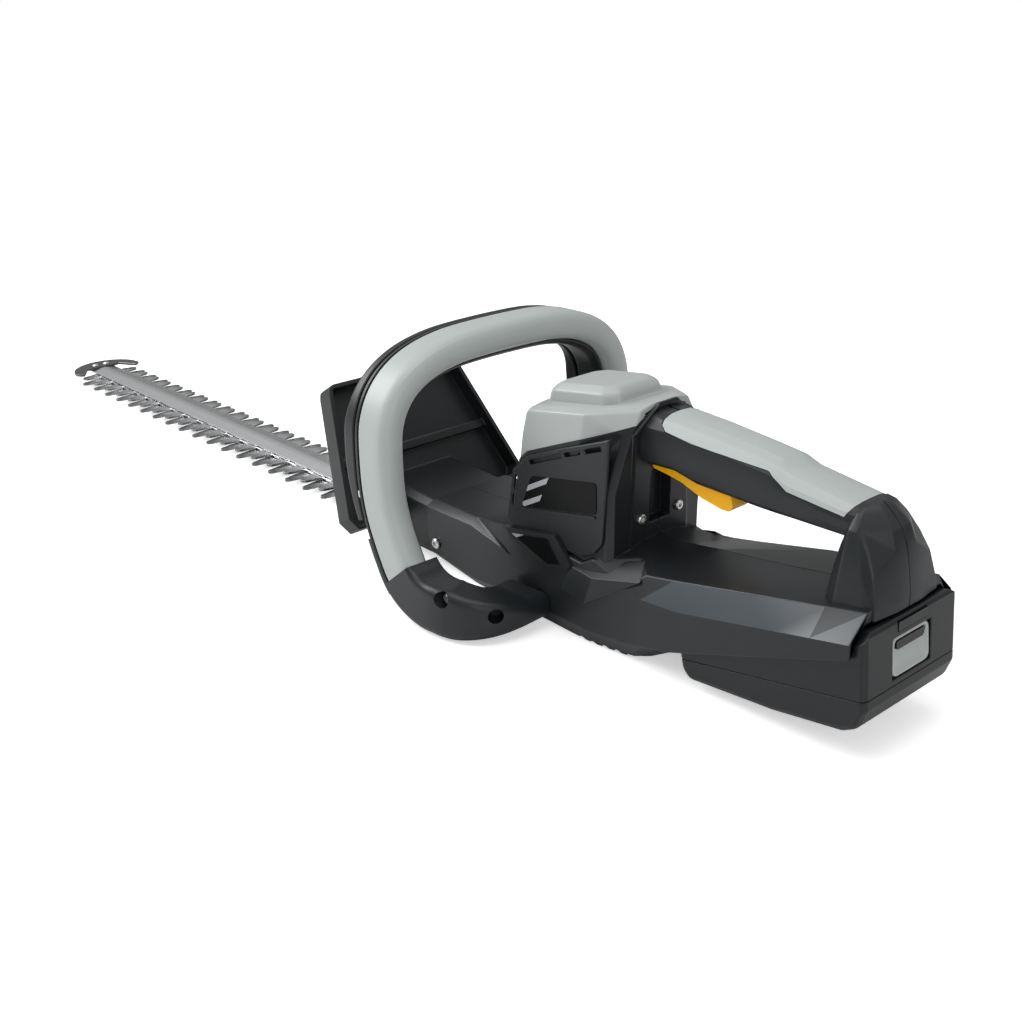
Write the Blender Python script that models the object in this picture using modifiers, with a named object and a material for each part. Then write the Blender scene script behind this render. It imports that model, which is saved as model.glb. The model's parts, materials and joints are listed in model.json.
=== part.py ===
"""Cordless hedge trimmer, modelled piece by piece in metres, +Z up.

Drive frame: X runs forward to the blade tip, Y to the tool's left, Z up.
Its zero is the axis of the drive gear, in the plane between the two blades.
The empty hedge_trimmer then puts the middle of the tool over the world's zero,
with the surface it lies on at Z = 0.
"""

import math

import bmesh
import bpy
from mathutils import Matrix, Vector

MM = 0.001

# Fits and walls
SEAT_GAP = 0.3 * MM            # between pieces that rest on each other
RUNNING_GAP = 0.5 * MM         # between pieces that slide or turn
HOUSING_WALL = 2.6 * MM
SHELL_WALL = 2.2 * MM          # battery case, motor cap and other small shells
PARTING_GAP = 0.3 * MM         # between the two housing halves

# Cutting bar
TOOTH_PITCH = 25.4 * MM
TOOTH_COUNT = 18
FIRST_TOOTH_X = 244.0 * MM     # rearmost tooth at mid stroke
BLADE_THICKNESS = 2.2 * MM
BLADE_SPINE_HALF = 13.0 * MM   # from the middle to the bottom of a gullet
LOWER_TOOTH_REACH = 32.6 * MM  # from the middle to the tip
UPPER_TOOTH_REACH = 28.0 * MM
LOWER_TOOTH_TIP = 5.0 * MM     # width at the tip
UPPER_TOOTH_TIP = 6.5 * MM
TOOTH_ROOT = 13.0 * MM         # width at the spine
BLADE_STROKE = 12.7 * MM       # travel of each blade, end to end
REST_SHIFT = 4.5 * MM          # each blade stands this far from mid stroke
GUIDE_HALF = 12.5 * MM
GUIDE_EDGE = 1.4 * MM          # thickness at the guide bar's edges
GUIDE_RIDGE = 3.3 * MM         # thickness at its middle
TIP_GUARD_HALF = 33.0 * MM
TIP_GUARD_DEPTH = 33.0 * MM    # from the ends of its arms to its front
TIP_GUARD_THICKNESS = 2.5 * MM
TIP_RIVET_RADIUS = 1.8 * MM
BOLT_COUNT = 4
BOLT_RADIUS = 2.5 * MM
BOLT_HEAD_RADIUS = 4.5 * MM
BOLT_HEAD_HEIGHT = 1.2 * MM

# Drive
GEAR_MODULE = 1.0 * MM
GEAR_TEETH = 54
PINION_TEETH = 9
GEAR_FACE = 6.0 * MM
SHAFT_RADIUS = 4.0 * MM
BEARING_RADIUS = 8.0 * MM
BEARING_WIDTH = 5.0 * MM
ECCENTRIC_RADIUS = 10.0 * MM
CASE_WALL = 3.0 * MM
MOTOR_RADIUS = 19.0 * MM
MOTOR_LENGTH = 52.0 * MM
MOTOR_SHAFT_RADIUS = 2.0 * MM
FAN_RADIUS = 17.0 * MM
FAN_HEIGHT = 7.0 * MM
FAN_BLADES = 9
BASE_PLATE_THICKNESS = 1.2 * MM

# Widths of the housing, worked out from the cells that lie across it
CELL_LENGTH = 65.0 * MM
CELL_END_ROOM = 1.3 * MM       # between the cells' ends and their case
RAIL_REACH = 3.9 * MM          # how far the battery's rails stand in
BATTERY_CAVITY_HALF = CELL_LENGTH / 2 + CELL_END_ROOM
GROOVE_HALF = BATTERY_CAVITY_HALF + SHELL_WALL
HOUSING_INNER_HALF = GROOVE_HALF + RUNNING_GAP + RAIL_REACH
HULL_HALF = HOUSING_INNER_HALF + HOUSING_WALL
BATTERY_HALF = HOUSING_INNER_HALF - 3 * RUNNING_GAP

# Housing
NECK_FRONT_X = 100.0 * MM
NECK_HALF = 37.0 * MM
REAR_X = -232.0 * MM
DECK_INSET = 7.0 * MM          # the deck's edge lies this far inside the hull's side
TOWER_INSET = 5.5 * MM         # and the motor tower's side this far
TOWER_FRONT_X = 20.0 * MM
TOWER_REAR_X = -76.0 * MM
LEG_HALF = 24.0 * MM           # half width of the leg behind the tower, at its foot
DECK_HALF = HULL_HALF - DECK_INSET
TOWER_HALF = HULL_HALF - TOWER_INSET
CAP_CREST_Z = 118.0 * MM       # front of the cap's shoulder
CAP_RISE = 15.0 * MM           # the shoulder climbs this much to the rear
GRIP_TOP_Z = 132.0 * MM
GRIP_BOTTOM_Z = 97.0 * MM
GRIP_HALF = 17.5 * MM
GRIP_DROP = 18.0 * MM          # the top of the grip falls this much to the rear
OVERMOULD_THICKNESS = 2.2 * MM
COLUMN_FRONT_X = -204.0 * MM
COLUMN_HALF = 20.0 * MM
TRIGGER_PIVOT_X = -74.0 * MM
TRIGGER_PIVOT_Z = 104.5 * MM
TRIGGER_REACH = 57.0 * MM      # pivot to rear end
TRIGGER_DROP = 12.0 * MM       # how far its rear end hangs below the grip
TRIGGER_HALF = 7.5 * MM
PIN_RADIUS = 2.0 * MM
SCREW_RADIUS = 2.0 * MM
SCREW_HEAD_RADIUS = 3.6 * MM
SCREW_HEAD_HEIGHT = 2.4 * MM
SCREW_SEAT_Y = 12.0 * MM       # depth of the housing screws' seats from the middle
SCREW_PLACES = [               # station, level and half width of each screw boss
    (80 * MM, 21 * MM, NECK_HALF - 2 * MM), (1 * MM, 66 * MM, TOWER_HALF - 1.5 * MM),
    (-58.5 * MM, 58 * MM, TOWER_HALF - 1.5 * MM), (-150 * MM, 111 * MM, GRIP_HALF - 2.5 * MM),
    (-217 * MM, 88 * MM, COLUMN_HALF + 2.5 * MM),
]
SCREW_BOSS_RADIUS = 5.6 * MM
PANEL_THICKNESS = 2.4 * MM
SLOT_HALF = 1.4 * MM           # half width of a vent slot
BULKHEAD_X = -116.0 * MM
BULKHEAD_THICKNESS = 3.5 * MM
POCKET_DEPTH = 10.0 * MM       # recess in the tower's rear face
POCKET_HALF = 8.5 * MM
POCKET_LOW_Z = 64.0 * MM
REAR_MOUTH_Z = 66.0 * MM       # top of the opening behind the battery
TRIGGER_SWING = math.radians(8)

# Hand guard
GUARD_TOP_X = 186.5 * MM
GUARD_TOP_Z = 99.0 * MM
GUARD_LOW_Z = 13.0 * MM
GUARD_TOP_HALF = 55.0 * MM
GUARD_LOW_HALF = 75.0 * MM
GUARD_LEAN = math.radians(29.8)
GUARD_WALL = 3.0 * MM
GUARD_RIM = 15.0 * MM
GUARD_RIDGE_DOWN = 50.0 * MM   # from the guard's top edge to its ridge
COLLAR_HALF = 33.0 * MM
COLLAR_TOP_Z = 34.0 * MM
GUARD_SCREW_X = 91.0 * MM
GUARD_SCREW_Z = 9.0 * MM
TONGUE_LENGTH = 14.0 * MM      # how far the collar's tongues reach into the neck
TONGUE_WIDTH = 6.0 * MM
BLADE_MOUTH_HALF = 24.5 * MM

# Front handle
BAIL_X = 61.0 * MM
BAIL_HALF = 91.5 * MM          # middle plane to the handle's centre line
BAIL_TOP_Z = 146.0 * MM
BAIL_CORNER_Z = 84.0 * MM      # where the sides start to round into the top
BAIL_SQUARENESS = 3.1          # 2 would be an ellipse
BAIL_HALF_WIDTH = 12.0 * MM    # half the bar's width, seen from the rear
BAIL_GRIP_DEPTH = 13.5 * MM    # centre line to the grip's rear face
BAIL_STRIP_WIDTH = 8.0 * MM    # width of the backbone's strip inside the handle
BAIL_SPINE_THICKNESS = 2.5 * MM
BAIL_LEVER_DEPTH = 5.0 * MM    # at the top of the handle
BAIL_LEVER_BULGE = 6.0 * MM    # the lever grows this much down the sides
BULGE_DEPTH = 6.0 * MM         # the backbone stands this far out below the lever
LEVER_TRAVEL = 2.2 * MM        # at the top of the handle
LEVER_PIN_RADIUS = 2.2 * MM
CORNER_STEP_COUNT = 9          # path stations from the handle's top down its corner
GRIP_STATION_COUNT = 14        # path stations to the grip's lower end
LEVER_STATION_COUNT = 11       # to the lever's lower end
PIN_STATION_COUNT = 10         # to the lever's pin
ARM_HALF_HEIGHT = 16.0 * MM
ARM_END_HEIGHT = 15.5 * MM     # height of the arm where it meets the housing
ARM_END_HALF = 18.0 * MM       # half its length there
ARM_Z = 9.0 * MM
ARM_X = -8.0 * MM              # where the arms meet the housing
HANDLE_SCREW_X = 3.0 * MM
HANDLE_SCREW_Z = 20.0 * MM
HANDLE_SCREW_SEAT = BAIL_HALF + 2 * MM

# Battery
BATTERY_SLOPE = math.radians(19.5)   # the way it slides, up to the rear
CELL_COUNT = 5
CELL_RADIUS = 9.1 * MM
CELL_PITCH = 19.0 * MM
FIRST_CELL_X = -142.0 * MM
BATTERY_FRONT_X = -124.0 * MM
BATTERY_REAR_X = -240.0 * MM
BATTERY_TOP_EDGE = 8.0 * MM    # the cut along its two upper edges
BATTERY_EDGE = 3.0 * MM        # rounding of its edges
BATTERY_SPLIT = math.radians(10.5)   # slope of the seam between its case halves
BATTERY_SPLIT_Z = 9.0 * MM     # level of that seam at the battery's front
RAIL_HALF = 1.8 * MM
RAIL_LENGTH = 92.0 * MM
LATCH_HALF = 15.5 * MM
LATCH_LOW_Z = 34.0 * MM
LATCH_HEIGHT = 20.8 * MM
LATCH_TRAVEL = 3.0 * MM
TERMINAL_HALF = 11.0 * MM

# Levels of the cutting bar, worked out from its stack
UPPER_LOW = SEAT_GAP / 2
UPPER_TOP = UPPER_LOW + BLADE_THICKNESS
LOWER_TOP = -SEAT_GAP / 2
LOWER_LOW = LOWER_TOP - BLADE_THICKNESS
GUIDE_LOW = UPPER_TOP + SEAT_GAP
GUIDE_EDGE_TOP = GUIDE_LOW + GUIDE_EDGE
GUIDE_TOP = GUIDE_LOW + GUIDE_RIDGE
PLATE_TOP = LOWER_LOW - SEAT_GAP
PLATE_LOW = PLATE_TOP - BASE_PLATE_THICKNESS
FLOOR_Z = PLATE_LOW - SEAT_GAP - HOUSING_WALL

# Stations along the cutting bar
LAST_TOOTH_X = FIRST_TOOTH_X + (TOOTH_COUNT - 1) * TOOTH_PITCH
BLADE_FRONT_X = LAST_TOOTH_X + TOOTH_ROOT / 2 + 2 * MM
TIP_X = LAST_TOOTH_X + 40.5 * MM
GUIDE_REAR_X = 34 * MM
GUIDE_FRONT_X = TIP_X - 8 * MM
RIDGE_FRONT_X = TIP_X - 22 * MM
HALF_STROKE = BLADE_STROKE / 2

# The drive, worked out from its gears
GEAR_PITCH_RADIUS = GEAR_MODULE * GEAR_TEETH / 2
PINION_PITCH_RADIUS = GEAR_MODULE * PINION_TEETH / 2
CENTRE_DISTANCE = GEAR_PITCH_RADIUS + PINION_PITCH_RADIUS + 0.1 * MM
MOTOR_X = -CENTRE_DISTANCE
CRANK_ANGLE = math.acos(REST_SHIFT / HALF_STROKE)
GEAR_LOW = GUIDE_TOP + 2.5 * MM
GEAR_TOP = GEAR_LOW + GEAR_FACE
CASE_ROOF_LOW = GEAR_TOP + 1.5 * MM
CASE_ROOF_TOP = CASE_ROOF_LOW + CASE_WALL
MOTOR_LOW = CASE_ROOF_TOP + SEAT_GAP
MOTOR_TOP = MOTOR_LOW + MOTOR_LENGTH
FAN_LOW = MOTOR_TOP + 4 * MM
BEARING_LOW = CASE_ROOF_LOW + 1.2 * MM
SECOND_BEARING_LOW = BEARING_LOW + BEARING_WIDTH + 3 * MM
BOSS_TOP = SECOND_BEARING_LOW + BEARING_WIDTH + 1.2 * MM
BOSS_RADIUS = BEARING_RADIUS + 2.2 * MM
SHAFT_TOP = BOSS_TOP + 1.5 * MM
CASE_RADIUS = GEAR_PITCH_RADIUS + GEAR_MODULE + 1.2 * MM + CASE_WALL
CASE_LOW = UPPER_TOP + RUNNING_GAP
CASE_TONGUE_X = CASE_RADIUS + 34 * MM

PARTS = None


def clear_scene():
    for obj in list(bpy.data.objects):
        bpy.data.objects.remove(obj, do_unlink=True)


def new_collection(name):
    collection = bpy.data.collections.new(name)
    bpy.context.scene.collection.children.link(collection)
    return collection


def new_material(name, colour, roughness, metallic=0.0):
    material = bpy.data.materials.new(name)
    material.use_nodes = True
    shader = material.node_tree.nodes["Principled BSDF"]
    shader.inputs["Base Color"].default_value = (*colour, 1.0)
    shader.inputs["Roughness"].default_value = roughness
    shader.inputs["Metallic"].default_value = metallic
    material.diffuse_color = (*colour, 1.0)
    return material


# ---------------------------------------------------------------- solids

def solid(bm, turn_out=True):
    """Turn a bmesh into an object of the parts' collection."""
    if turn_out:
        bmesh.ops.recalc_face_normals(bm, faces=bm.faces)
    mesh = bpy.data.meshes.new("solid")
    bm.to_mesh(mesh)
    bm.free()
    obj = bpy.data.objects.new("solid", mesh)
    PARTS.objects.link(obj)
    return obj


def discard(obj):
    bpy.data.objects.remove(obj, do_unlink=True)


def box(low, high):
    bm = bmesh.new()
    bmesh.ops.create_cube(bm, size=1.0)
    low, high = Vector(low), Vector(high)
    size = high - low
    bmesh.ops.scale(bm, vec=size, verts=bm.verts)
    bmesh.ops.translate(bm, vec=(low + high) / 2, verts=bm.verts)
    return solid(bm)


def turned(axis):
    """Rotation that takes +Z to the given axis."""
    return Vector((0, 0, 1)).rotation_difference(Vector(axis)).to_matrix().to_4x4()


def cylinder(base, radius, height, axis=(0, 0, 1), segments=24, top_radius=None):
    """A cylinder or cone standing on its base point along an axis."""
    bm = bmesh.new()
    top_radius = radius if top_radius is None else top_radius
    bmesh.ops.create_cone(bm, cap_ends=True, segments=segments, radius1=radius,
                          radius2=top_radius, depth=height)
    bmesh.ops.translate(bm, vec=(0, 0, height / 2), verts=bm.verts)
    bmesh.ops.transform(bm, matrix=Matrix.Translation(base) @ turned(axis), verts=bm.verts)
    return solid(bm)


def to_mesh_object(obj, turn_out=True):
    """Replace an object by its evaluated mesh, with its place baked in."""
    graph = bpy.context.evaluated_depsgraph_get()
    mesh = bpy.data.meshes.new_from_object(obj.evaluated_get(graph))
    mesh.transform(obj.matrix_world)
    bm = bmesh.new()
    bm.from_mesh(mesh)
    bmesh.ops.remove_doubles(bm, verts=bm.verts, dist=0.001 * MM)
    bmesh.ops.dissolve_degenerate(bm, edges=bm.edges, dist=0.002 * MM)
    bpy.data.meshes.remove(mesh)
    discard(obj)
    return solid(bm, turn_out)


def prism(outlines, low, high, plane="XZ"):
    """Extrude flat outlines (the first is the border, the rest are holes)."""
    curve = bpy.data.curves.new("outline", "CURVE")
    curve.dimensions = "2D"
    curve.fill_mode = "BOTH"
    curve.extrude = (high - low) / 2
    for outline in outlines:
        spline = curve.splines.new("POLY")
        spline.points.add(len(outline) - 1)
        for point, (u, v) in zip(spline.points, outline):
            point.co = (u, v, 0, 1)
        spline.use_cyclic_u = True
    obj = bpy.data.objects.new("outline", curve)
    PARTS.objects.link(obj)
    middle = (low + high) / 2
    columns = {
        "XY": ((1, 0, 0), (0, 1, 0), (0, 0, 1)),
        "XZ": ((1, 0, 0), (0, 0, 1), (0, -1, 0)),
        "YZ": ((0, 1, 0), (0, 0, 1), (1, 0, 0)),
    }[plane]
    turn = Matrix(columns).transposed().to_4x4()
    shift = {"XY": (0, 0, middle), "XZ": (0, middle, 0), "YZ": (middle, 0, 0)}[plane]
    obj.matrix_world = Matrix.Translation(shift) @ turn
    bpy.context.view_layer.update()
    return to_mesh_object(obj)


def loft(rings):
    """A closed skin through rings of equal point counts, flat at both ends."""
    bm = bmesh.new()
    rows = [[bm.verts.new(point) for point in ring] for ring in rings]
    count = len(rows[0])
    for near, far in zip(rows, rows[1:]):
        for i in range(count):
            j = (i + 1) % count
            bm.faces.new((near[i], near[j], far[j], far[i]))
    bm.faces.new(list(reversed(rows[0])))
    bm.faces.new(rows[-1])
    bmesh.ops.connect_verts_nonplanar(bm, angle_limit=0.0005, faces=bm.faces)
    return solid(bm)


def combine(target, tools, operation, solver="EXACT"):
    """Apply Booleans one after another, each to a welded result."""
    for tool in tools:
        modifier = target.modifiers.new(operation, "BOOLEAN")
        modifier.operation = operation
        modifier.solver = solver
        modifier.object = tool
        target = to_mesh_object(target, turn_out=False)
        discard(tool)
    return target


def cut(target, *tools):
    return combine(target, tools, "DIFFERENCE")


def join(target, *tools):
    return combine(target, tools, "UNION")


def common(target, *tools):
    return combine(target, tools, "INTERSECT")


def bevelled(obj, width, segments=2, angle=30):
    modifier = obj.modifiers.new("edges", "BEVEL")
    modifier.width = width
    modifier.segments = segments
    modifier.limit_method = "ANGLE"
    modifier.angle_limit = math.radians(angle)
    return to_mesh_object(obj)


def merged_flats(obj):
    """Merge faces that lie in one plane, as the Booleans leave them in strips."""
    bm = bmesh.new()
    bm.from_mesh(obj.data)
    bmesh.ops.dissolve_limit(bm, angle_limit=math.radians(0.1), verts=bm.verts, edges=bm.edges)
    bm.to_mesh(obj.data)
    bm.free()
    return obj


def copy_of(obj):
    twin = obj.copy()
    twin.data = obj.data.copy()
    PARTS.objects.link(twin)
    return twin


def offset_outline(points, distance):
    """Move each side of a closed flat outline inward by a distance."""
    area = sum(a[0] * b[1] - b[0] * a[1] for a, b in zip(points, points[1:] + points[:1]))
    sign = 1 if area > 0 else -1
    result = []
    for i, point in enumerate(points):
        here = Vector(point)
        before = (here - Vector(points[i - 1])).normalized()
        after = (Vector(points[(i + 1) % len(points)]) - here).normalized()
        normal_before = Vector((-before.y, before.x)) * sign
        normal_after = Vector((-after.y, after.x)) * sign
        mitre = normal_before + normal_after
        mitre /= max(mitre.dot(normal_after), 0.3)
        result.append(tuple(here + mitre * distance))
    return result


def arc(centre, radius, start, end, steps):
    """Points along a circle's arc, in degrees, as seen in a flat outline."""
    points = []
    for i in range(steps + 1):
        angle = math.radians(start + (end - start) * i / steps)
        points.append((centre[0] + radius * math.cos(angle),
                       centre[1] + radius * math.sin(angle)))
    return points


def circle(centre, radius, count):
    """Points of a full circle, the last one short of the first."""
    return arc(centre, radius, 0, 360 * (count - 1) / count, count - 1)


def slot_outline(x, y, half_length, half_width):
    """A slot with rounded ends along X."""
    reach = half_length - half_width
    return (arc((x + reach, y), half_width, -90, 90, 6)
            + arc((x - reach, y), half_width, 90, 270, 6))


def finish(obj, name, material, origin=(0, 0, 0), smooth=True):
    """Name a solid, give it its material and put its origin on its axis."""
    obj.name = name
    obj.data.name = name
    obj.data.materials.clear()
    obj.data.materials.append(material)
    obj.data.transform(Matrix.Translation(-Vector(origin)))
    obj.location = origin
    if smooth:
        obj.data.shade_smooth()
        obj.data.set_sharp_from_angle(angle=math.radians(35))
    return obj


# ---------------------------------------------------------------- cutting bar

def tooth_points(x, reach, tip):
    """One tooth of a blade's left edge, from its rear root to its front root."""
    root = TOOTH_ROOT / 2
    half_tip = tip / 2
    shoulder = BLADE_SPINE_HALF + 0.35 * (reach - BLADE_SPINE_HALF)
    nose = half_tip * 0.55
    return [
        (x - root, BLADE_SPINE_HALF),
        (x - (root + half_tip) / 2, shoulder),
        (x - half_tip, reach - nose),
        (x - half_tip + nose, reach),
        (x + half_tip - nose, reach),
        (x + half_tip, reach - nose),
        (x + (root + half_tip) / 2, shoulder),
        (x + root, BLADE_SPINE_HALF),
    ]


def bolt_stations():
    """The first bolt stands over the gear case's tongue, the last near the tip."""
    first = CASE_TONGUE_X - 2.2 * BOLT_HEAD_RADIUS
    last = LAST_TOOTH_X - TOOTH_PITCH
    return [first + (last - first) * i / (BOLT_COUNT - 1) for i in range(BOLT_COUNT)]


def blade(low, top, reach, tip, shift):
    """A double-edged blade with its bolt slots and the yoke window at its tail."""
    sweep = ECCENTRIC_RADIUS + HALF_STROKE
    window_x = sweep + HALF_STROKE + RUNNING_GAP
    window_y = sweep + RUNNING_GAP
    tail_half = window_y + 4 * MM
    tail_rear = -window_x - 4 * MM
    neck_x = window_x + 6 * MM
    left = [(tail_rear, tail_half), (neck_x, tail_half), (neck_x + 8 * MM, BLADE_SPINE_HALF)]
    for i in range(TOOTH_COUNT):
        left += tooth_points(FIRST_TOOTH_X + i * TOOTH_PITCH, reach, tip)
    left += [(BLADE_FRONT_X, BLADE_SPINE_HALF), (BLADE_FRONT_X, 0.4 * BLADE_SPINE_HALF)]
    right = [(x, -y) for x, y in reversed(left)]
    window = [(-window_x, -window_y), (window_x, -window_y),
              (window_x, window_y), (-window_x, window_y)]
    slot_half = BOLT_RADIUS + RUNNING_GAP
    slots = [slot_outline(x, 0, slot_half + HALF_STROKE, slot_half) for x in bolt_stations()]
    outlines = [left + right, window] + slots
    moved = [[(x + shift, y) for x, y in outline] for outline in outlines]
    return prism(moved, low, top, "XY")


def guide_bar():
    """The bar over the blades, with a low ridge along its middle."""
    ridge = 0.25 * GUIDE_HALF
    profile = [(-GUIDE_HALF, GUIDE_LOW), (GUIDE_HALF, GUIDE_LOW),
               (GUIDE_HALF, GUIDE_EDGE_TOP), (ridge, GUIDE_TOP - 0.3 * MM), (0, GUIDE_TOP),
               (-ridge, GUIDE_TOP - 0.3 * MM), (-GUIDE_HALF, GUIDE_EDGE_TOP)]
    bar = prism([profile], GUIDE_REAR_X, GUIDE_FRONT_X, "YZ")
    flat = box((RIDGE_FRONT_X, -GUIDE_HALF - MM, GUIDE_EDGE_TOP),
               (GUIDE_FRONT_X + MM, GUIDE_HALF + MM, GUIDE_TOP + MM))
    hole_radius = BOLT_RADIUS + SEAT_GAP
    depths = [2 * GUIDE_RIDGE] + [0.7 * GUIDE_RIDGE] * (BOLT_COUNT - 1)
    holes = [cylinder((x, 0, GUIDE_LOW - MM), hole_radius, depth + MM, segments=16)
             for x, depth in zip(bolt_stations(), depths)]
    holes += [cylinder((x, y, GUIDE_LOW - MM), TIP_RIVET_RADIUS + SEAT_GAP, 8 * MM, segments=12)
              for x, y in tip_rivet_places()]
    return cut(bar, flat, *holes)


def tip_rivet_places():
    x = (RIDGE_FRONT_X + GUIDE_FRONT_X) / 2
    return [(x, 0.45 * GUIDE_HALF), (x, -0.45 * GUIDE_HALF)]


def tip_guard():
    """A crescent plate that covers the blades' front end and sweeps back at the sides."""
    low = GUIDE_EDGE_TOP + SEAT_GAP
    arm_x = TIP_X - TIP_GUARD_DEPTH
    radius = (TIP_GUARD_HALF ** 2 + TIP_GUARD_DEPTH ** 2) / (2 * TIP_GUARD_DEPTH)
    sweep = math.degrees(math.asin(min(TIP_GUARD_HALF / radius, 1.0)))
    front = arc((TIP_X - radius, 0), radius, -sweep, sweep, 12)
    inner_half = TIP_GUARD_HALF - 6 * MM
    web_half = GUIDE_HALF - MM
    inner = [
        (arm_x - 3 * MM, TIP_GUARD_HALF - 2 * MM), (arm_x - 6 * MM, inner_half),
        (RIDGE_FRONT_X + MM, web_half + 5 * MM), (RIDGE_FRONT_X + SEAT_GAP, web_half),
    ]
    outline = front + inner + [(x, -y) for x, y in reversed(inner)]
    holes = [circle(place, TIP_RIVET_RADIUS + SEAT_GAP, 12) for place in tip_rivet_places()]
    return prism([outline] + holes, low, low + TIP_GUARD_THICKNESS, "XY")


def tip_rivet(x, y):
    top = GUIDE_EDGE_TOP + SEAT_GAP + TIP_GUARD_THICKNESS + SEAT_GAP
    shank = cylinder((x, y, GUIDE_LOW + SEAT_GAP), TIP_RIVET_RADIUS, top - GUIDE_LOW, segments=12)
    head = cylinder((x, y, top), 1.7 * TIP_RIVET_RADIUS, 1.0 * MM, segments=12,
                    top_radius=TIP_RIVET_RADIUS)
    return join(shank, head)


def blade_bolt(x, top):
    """A shoulder bolt from below that carries both blades on the guide bar."""
    seat = LOWER_LOW - SEAT_GAP
    head = cylinder((x, 0, seat - BOLT_HEAD_HEIGHT), BOLT_HEAD_RADIUS, BOLT_HEAD_HEIGHT,
                    segments=16)
    shank = cylinder((x, 0, seat - 0.5 * BOLT_HEAD_HEIGHT), BOLT_RADIUS,
                     top - seat + 0.5 * BOLT_HEAD_HEIGHT, segments=16)
    socket = cylinder((x, 0, seat - BOLT_HEAD_HEIGHT - MM), 0.45 * BOLT_HEAD_RADIUS,
                      MM + 0.6 * BOLT_HEAD_HEIGHT, segments=6)
    return cut(join(head, shank), socket)


# ---------------------------------------------------------------- drive

def gear_outline(teeth, phase):
    """A toothed outline with four points for each tooth."""
    pitch_radius = GEAR_MODULE * teeth / 2
    outer = pitch_radius + 0.85 * GEAR_MODULE
    inner = pitch_radius - 1.15 * GEAR_MODULE
    step = 2 * math.pi / teeth
    points = []
    for i in range(teeth):
        middle = phase + i * step
        for radius, share in ((inner, -0.34), (outer, -0.14), (outer, 0.14), (inner, 0.34)):
            angle = middle + share * step
            points.append((radius * math.cos(angle), radius * math.sin(angle)))
    return points


def drive_gear():
    """The wheel, with the two eccentrics that drive the blades under it."""
    bore = circle((0, 0), SHAFT_RADIUS + SEAT_GAP, 24)
    wheel = prism([gear_outline(GEAR_TEETH, 0), bore], GEAR_LOW, GEAR_TOP, "XY")
    along = Vector((math.cos(CRANK_ANGLE), math.sin(CRANK_ANGLE), 0)) * HALF_STROKE
    hub = cylinder((0, 0, UPPER_TOP - 0.4 * MM), ECCENTRIC_RADIUS - 1 * MM,
                   GEAR_LOW - UPPER_TOP + 0.7 * MM, segments=24)
    upper = cylinder(along + Vector((0, 0, 0)), ECCENTRIC_RADIUS, UPPER_TOP, segments=32)
    lower = cylinder(-along + Vector((0, 0, LOWER_LOW)), ECCENTRIC_RADIUS,
                     -LOWER_LOW + 0.2 * MM, segments=32)
    return merged_flats(join(wheel, hub, upper, lower))


def gear_shaft():
    return cylinder((0, 0, GEAR_LOW + 0.6 * MM), SHAFT_RADIUS,
                    SHAFT_TOP - GEAR_LOW - 0.6 * MM, segments=24)


def lathe(profile, base=(0, 0, 0), steps=28, axis=(0, 0, 1)):
    """Turn a closed or axis-to-axis profile of (radius, height) points with a Screw."""
    mesh = bpy.data.meshes.new("profile")
    on_axis = profile[0][0] == 0
    edges = [(i, i + 1) for i in range(len(profile) - 1)]
    if not on_axis:
        edges.append((len(profile) - 1, 0))
    mesh.from_pydata([(r, 0, z) for r, z in profile], edges, [])
    obj = bpy.data.objects.new("profile", mesh)
    PARTS.objects.link(obj)
    screw = obj.modifiers.new("turn", "SCREW")
    screw.steps = steps
    screw.render_steps = steps
    screw.use_merge_vertices = True
    screw.merge_threshold = 0.01 * MM
    obj.matrix_world = Matrix.Translation(base) @ turned(axis)
    bpy.context.view_layer.update()
    return to_mesh_object(obj)


def tube(outer, inner, height):
    return [(outer, height), (outer, 0), (inner, 0), (inner, height)]


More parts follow.
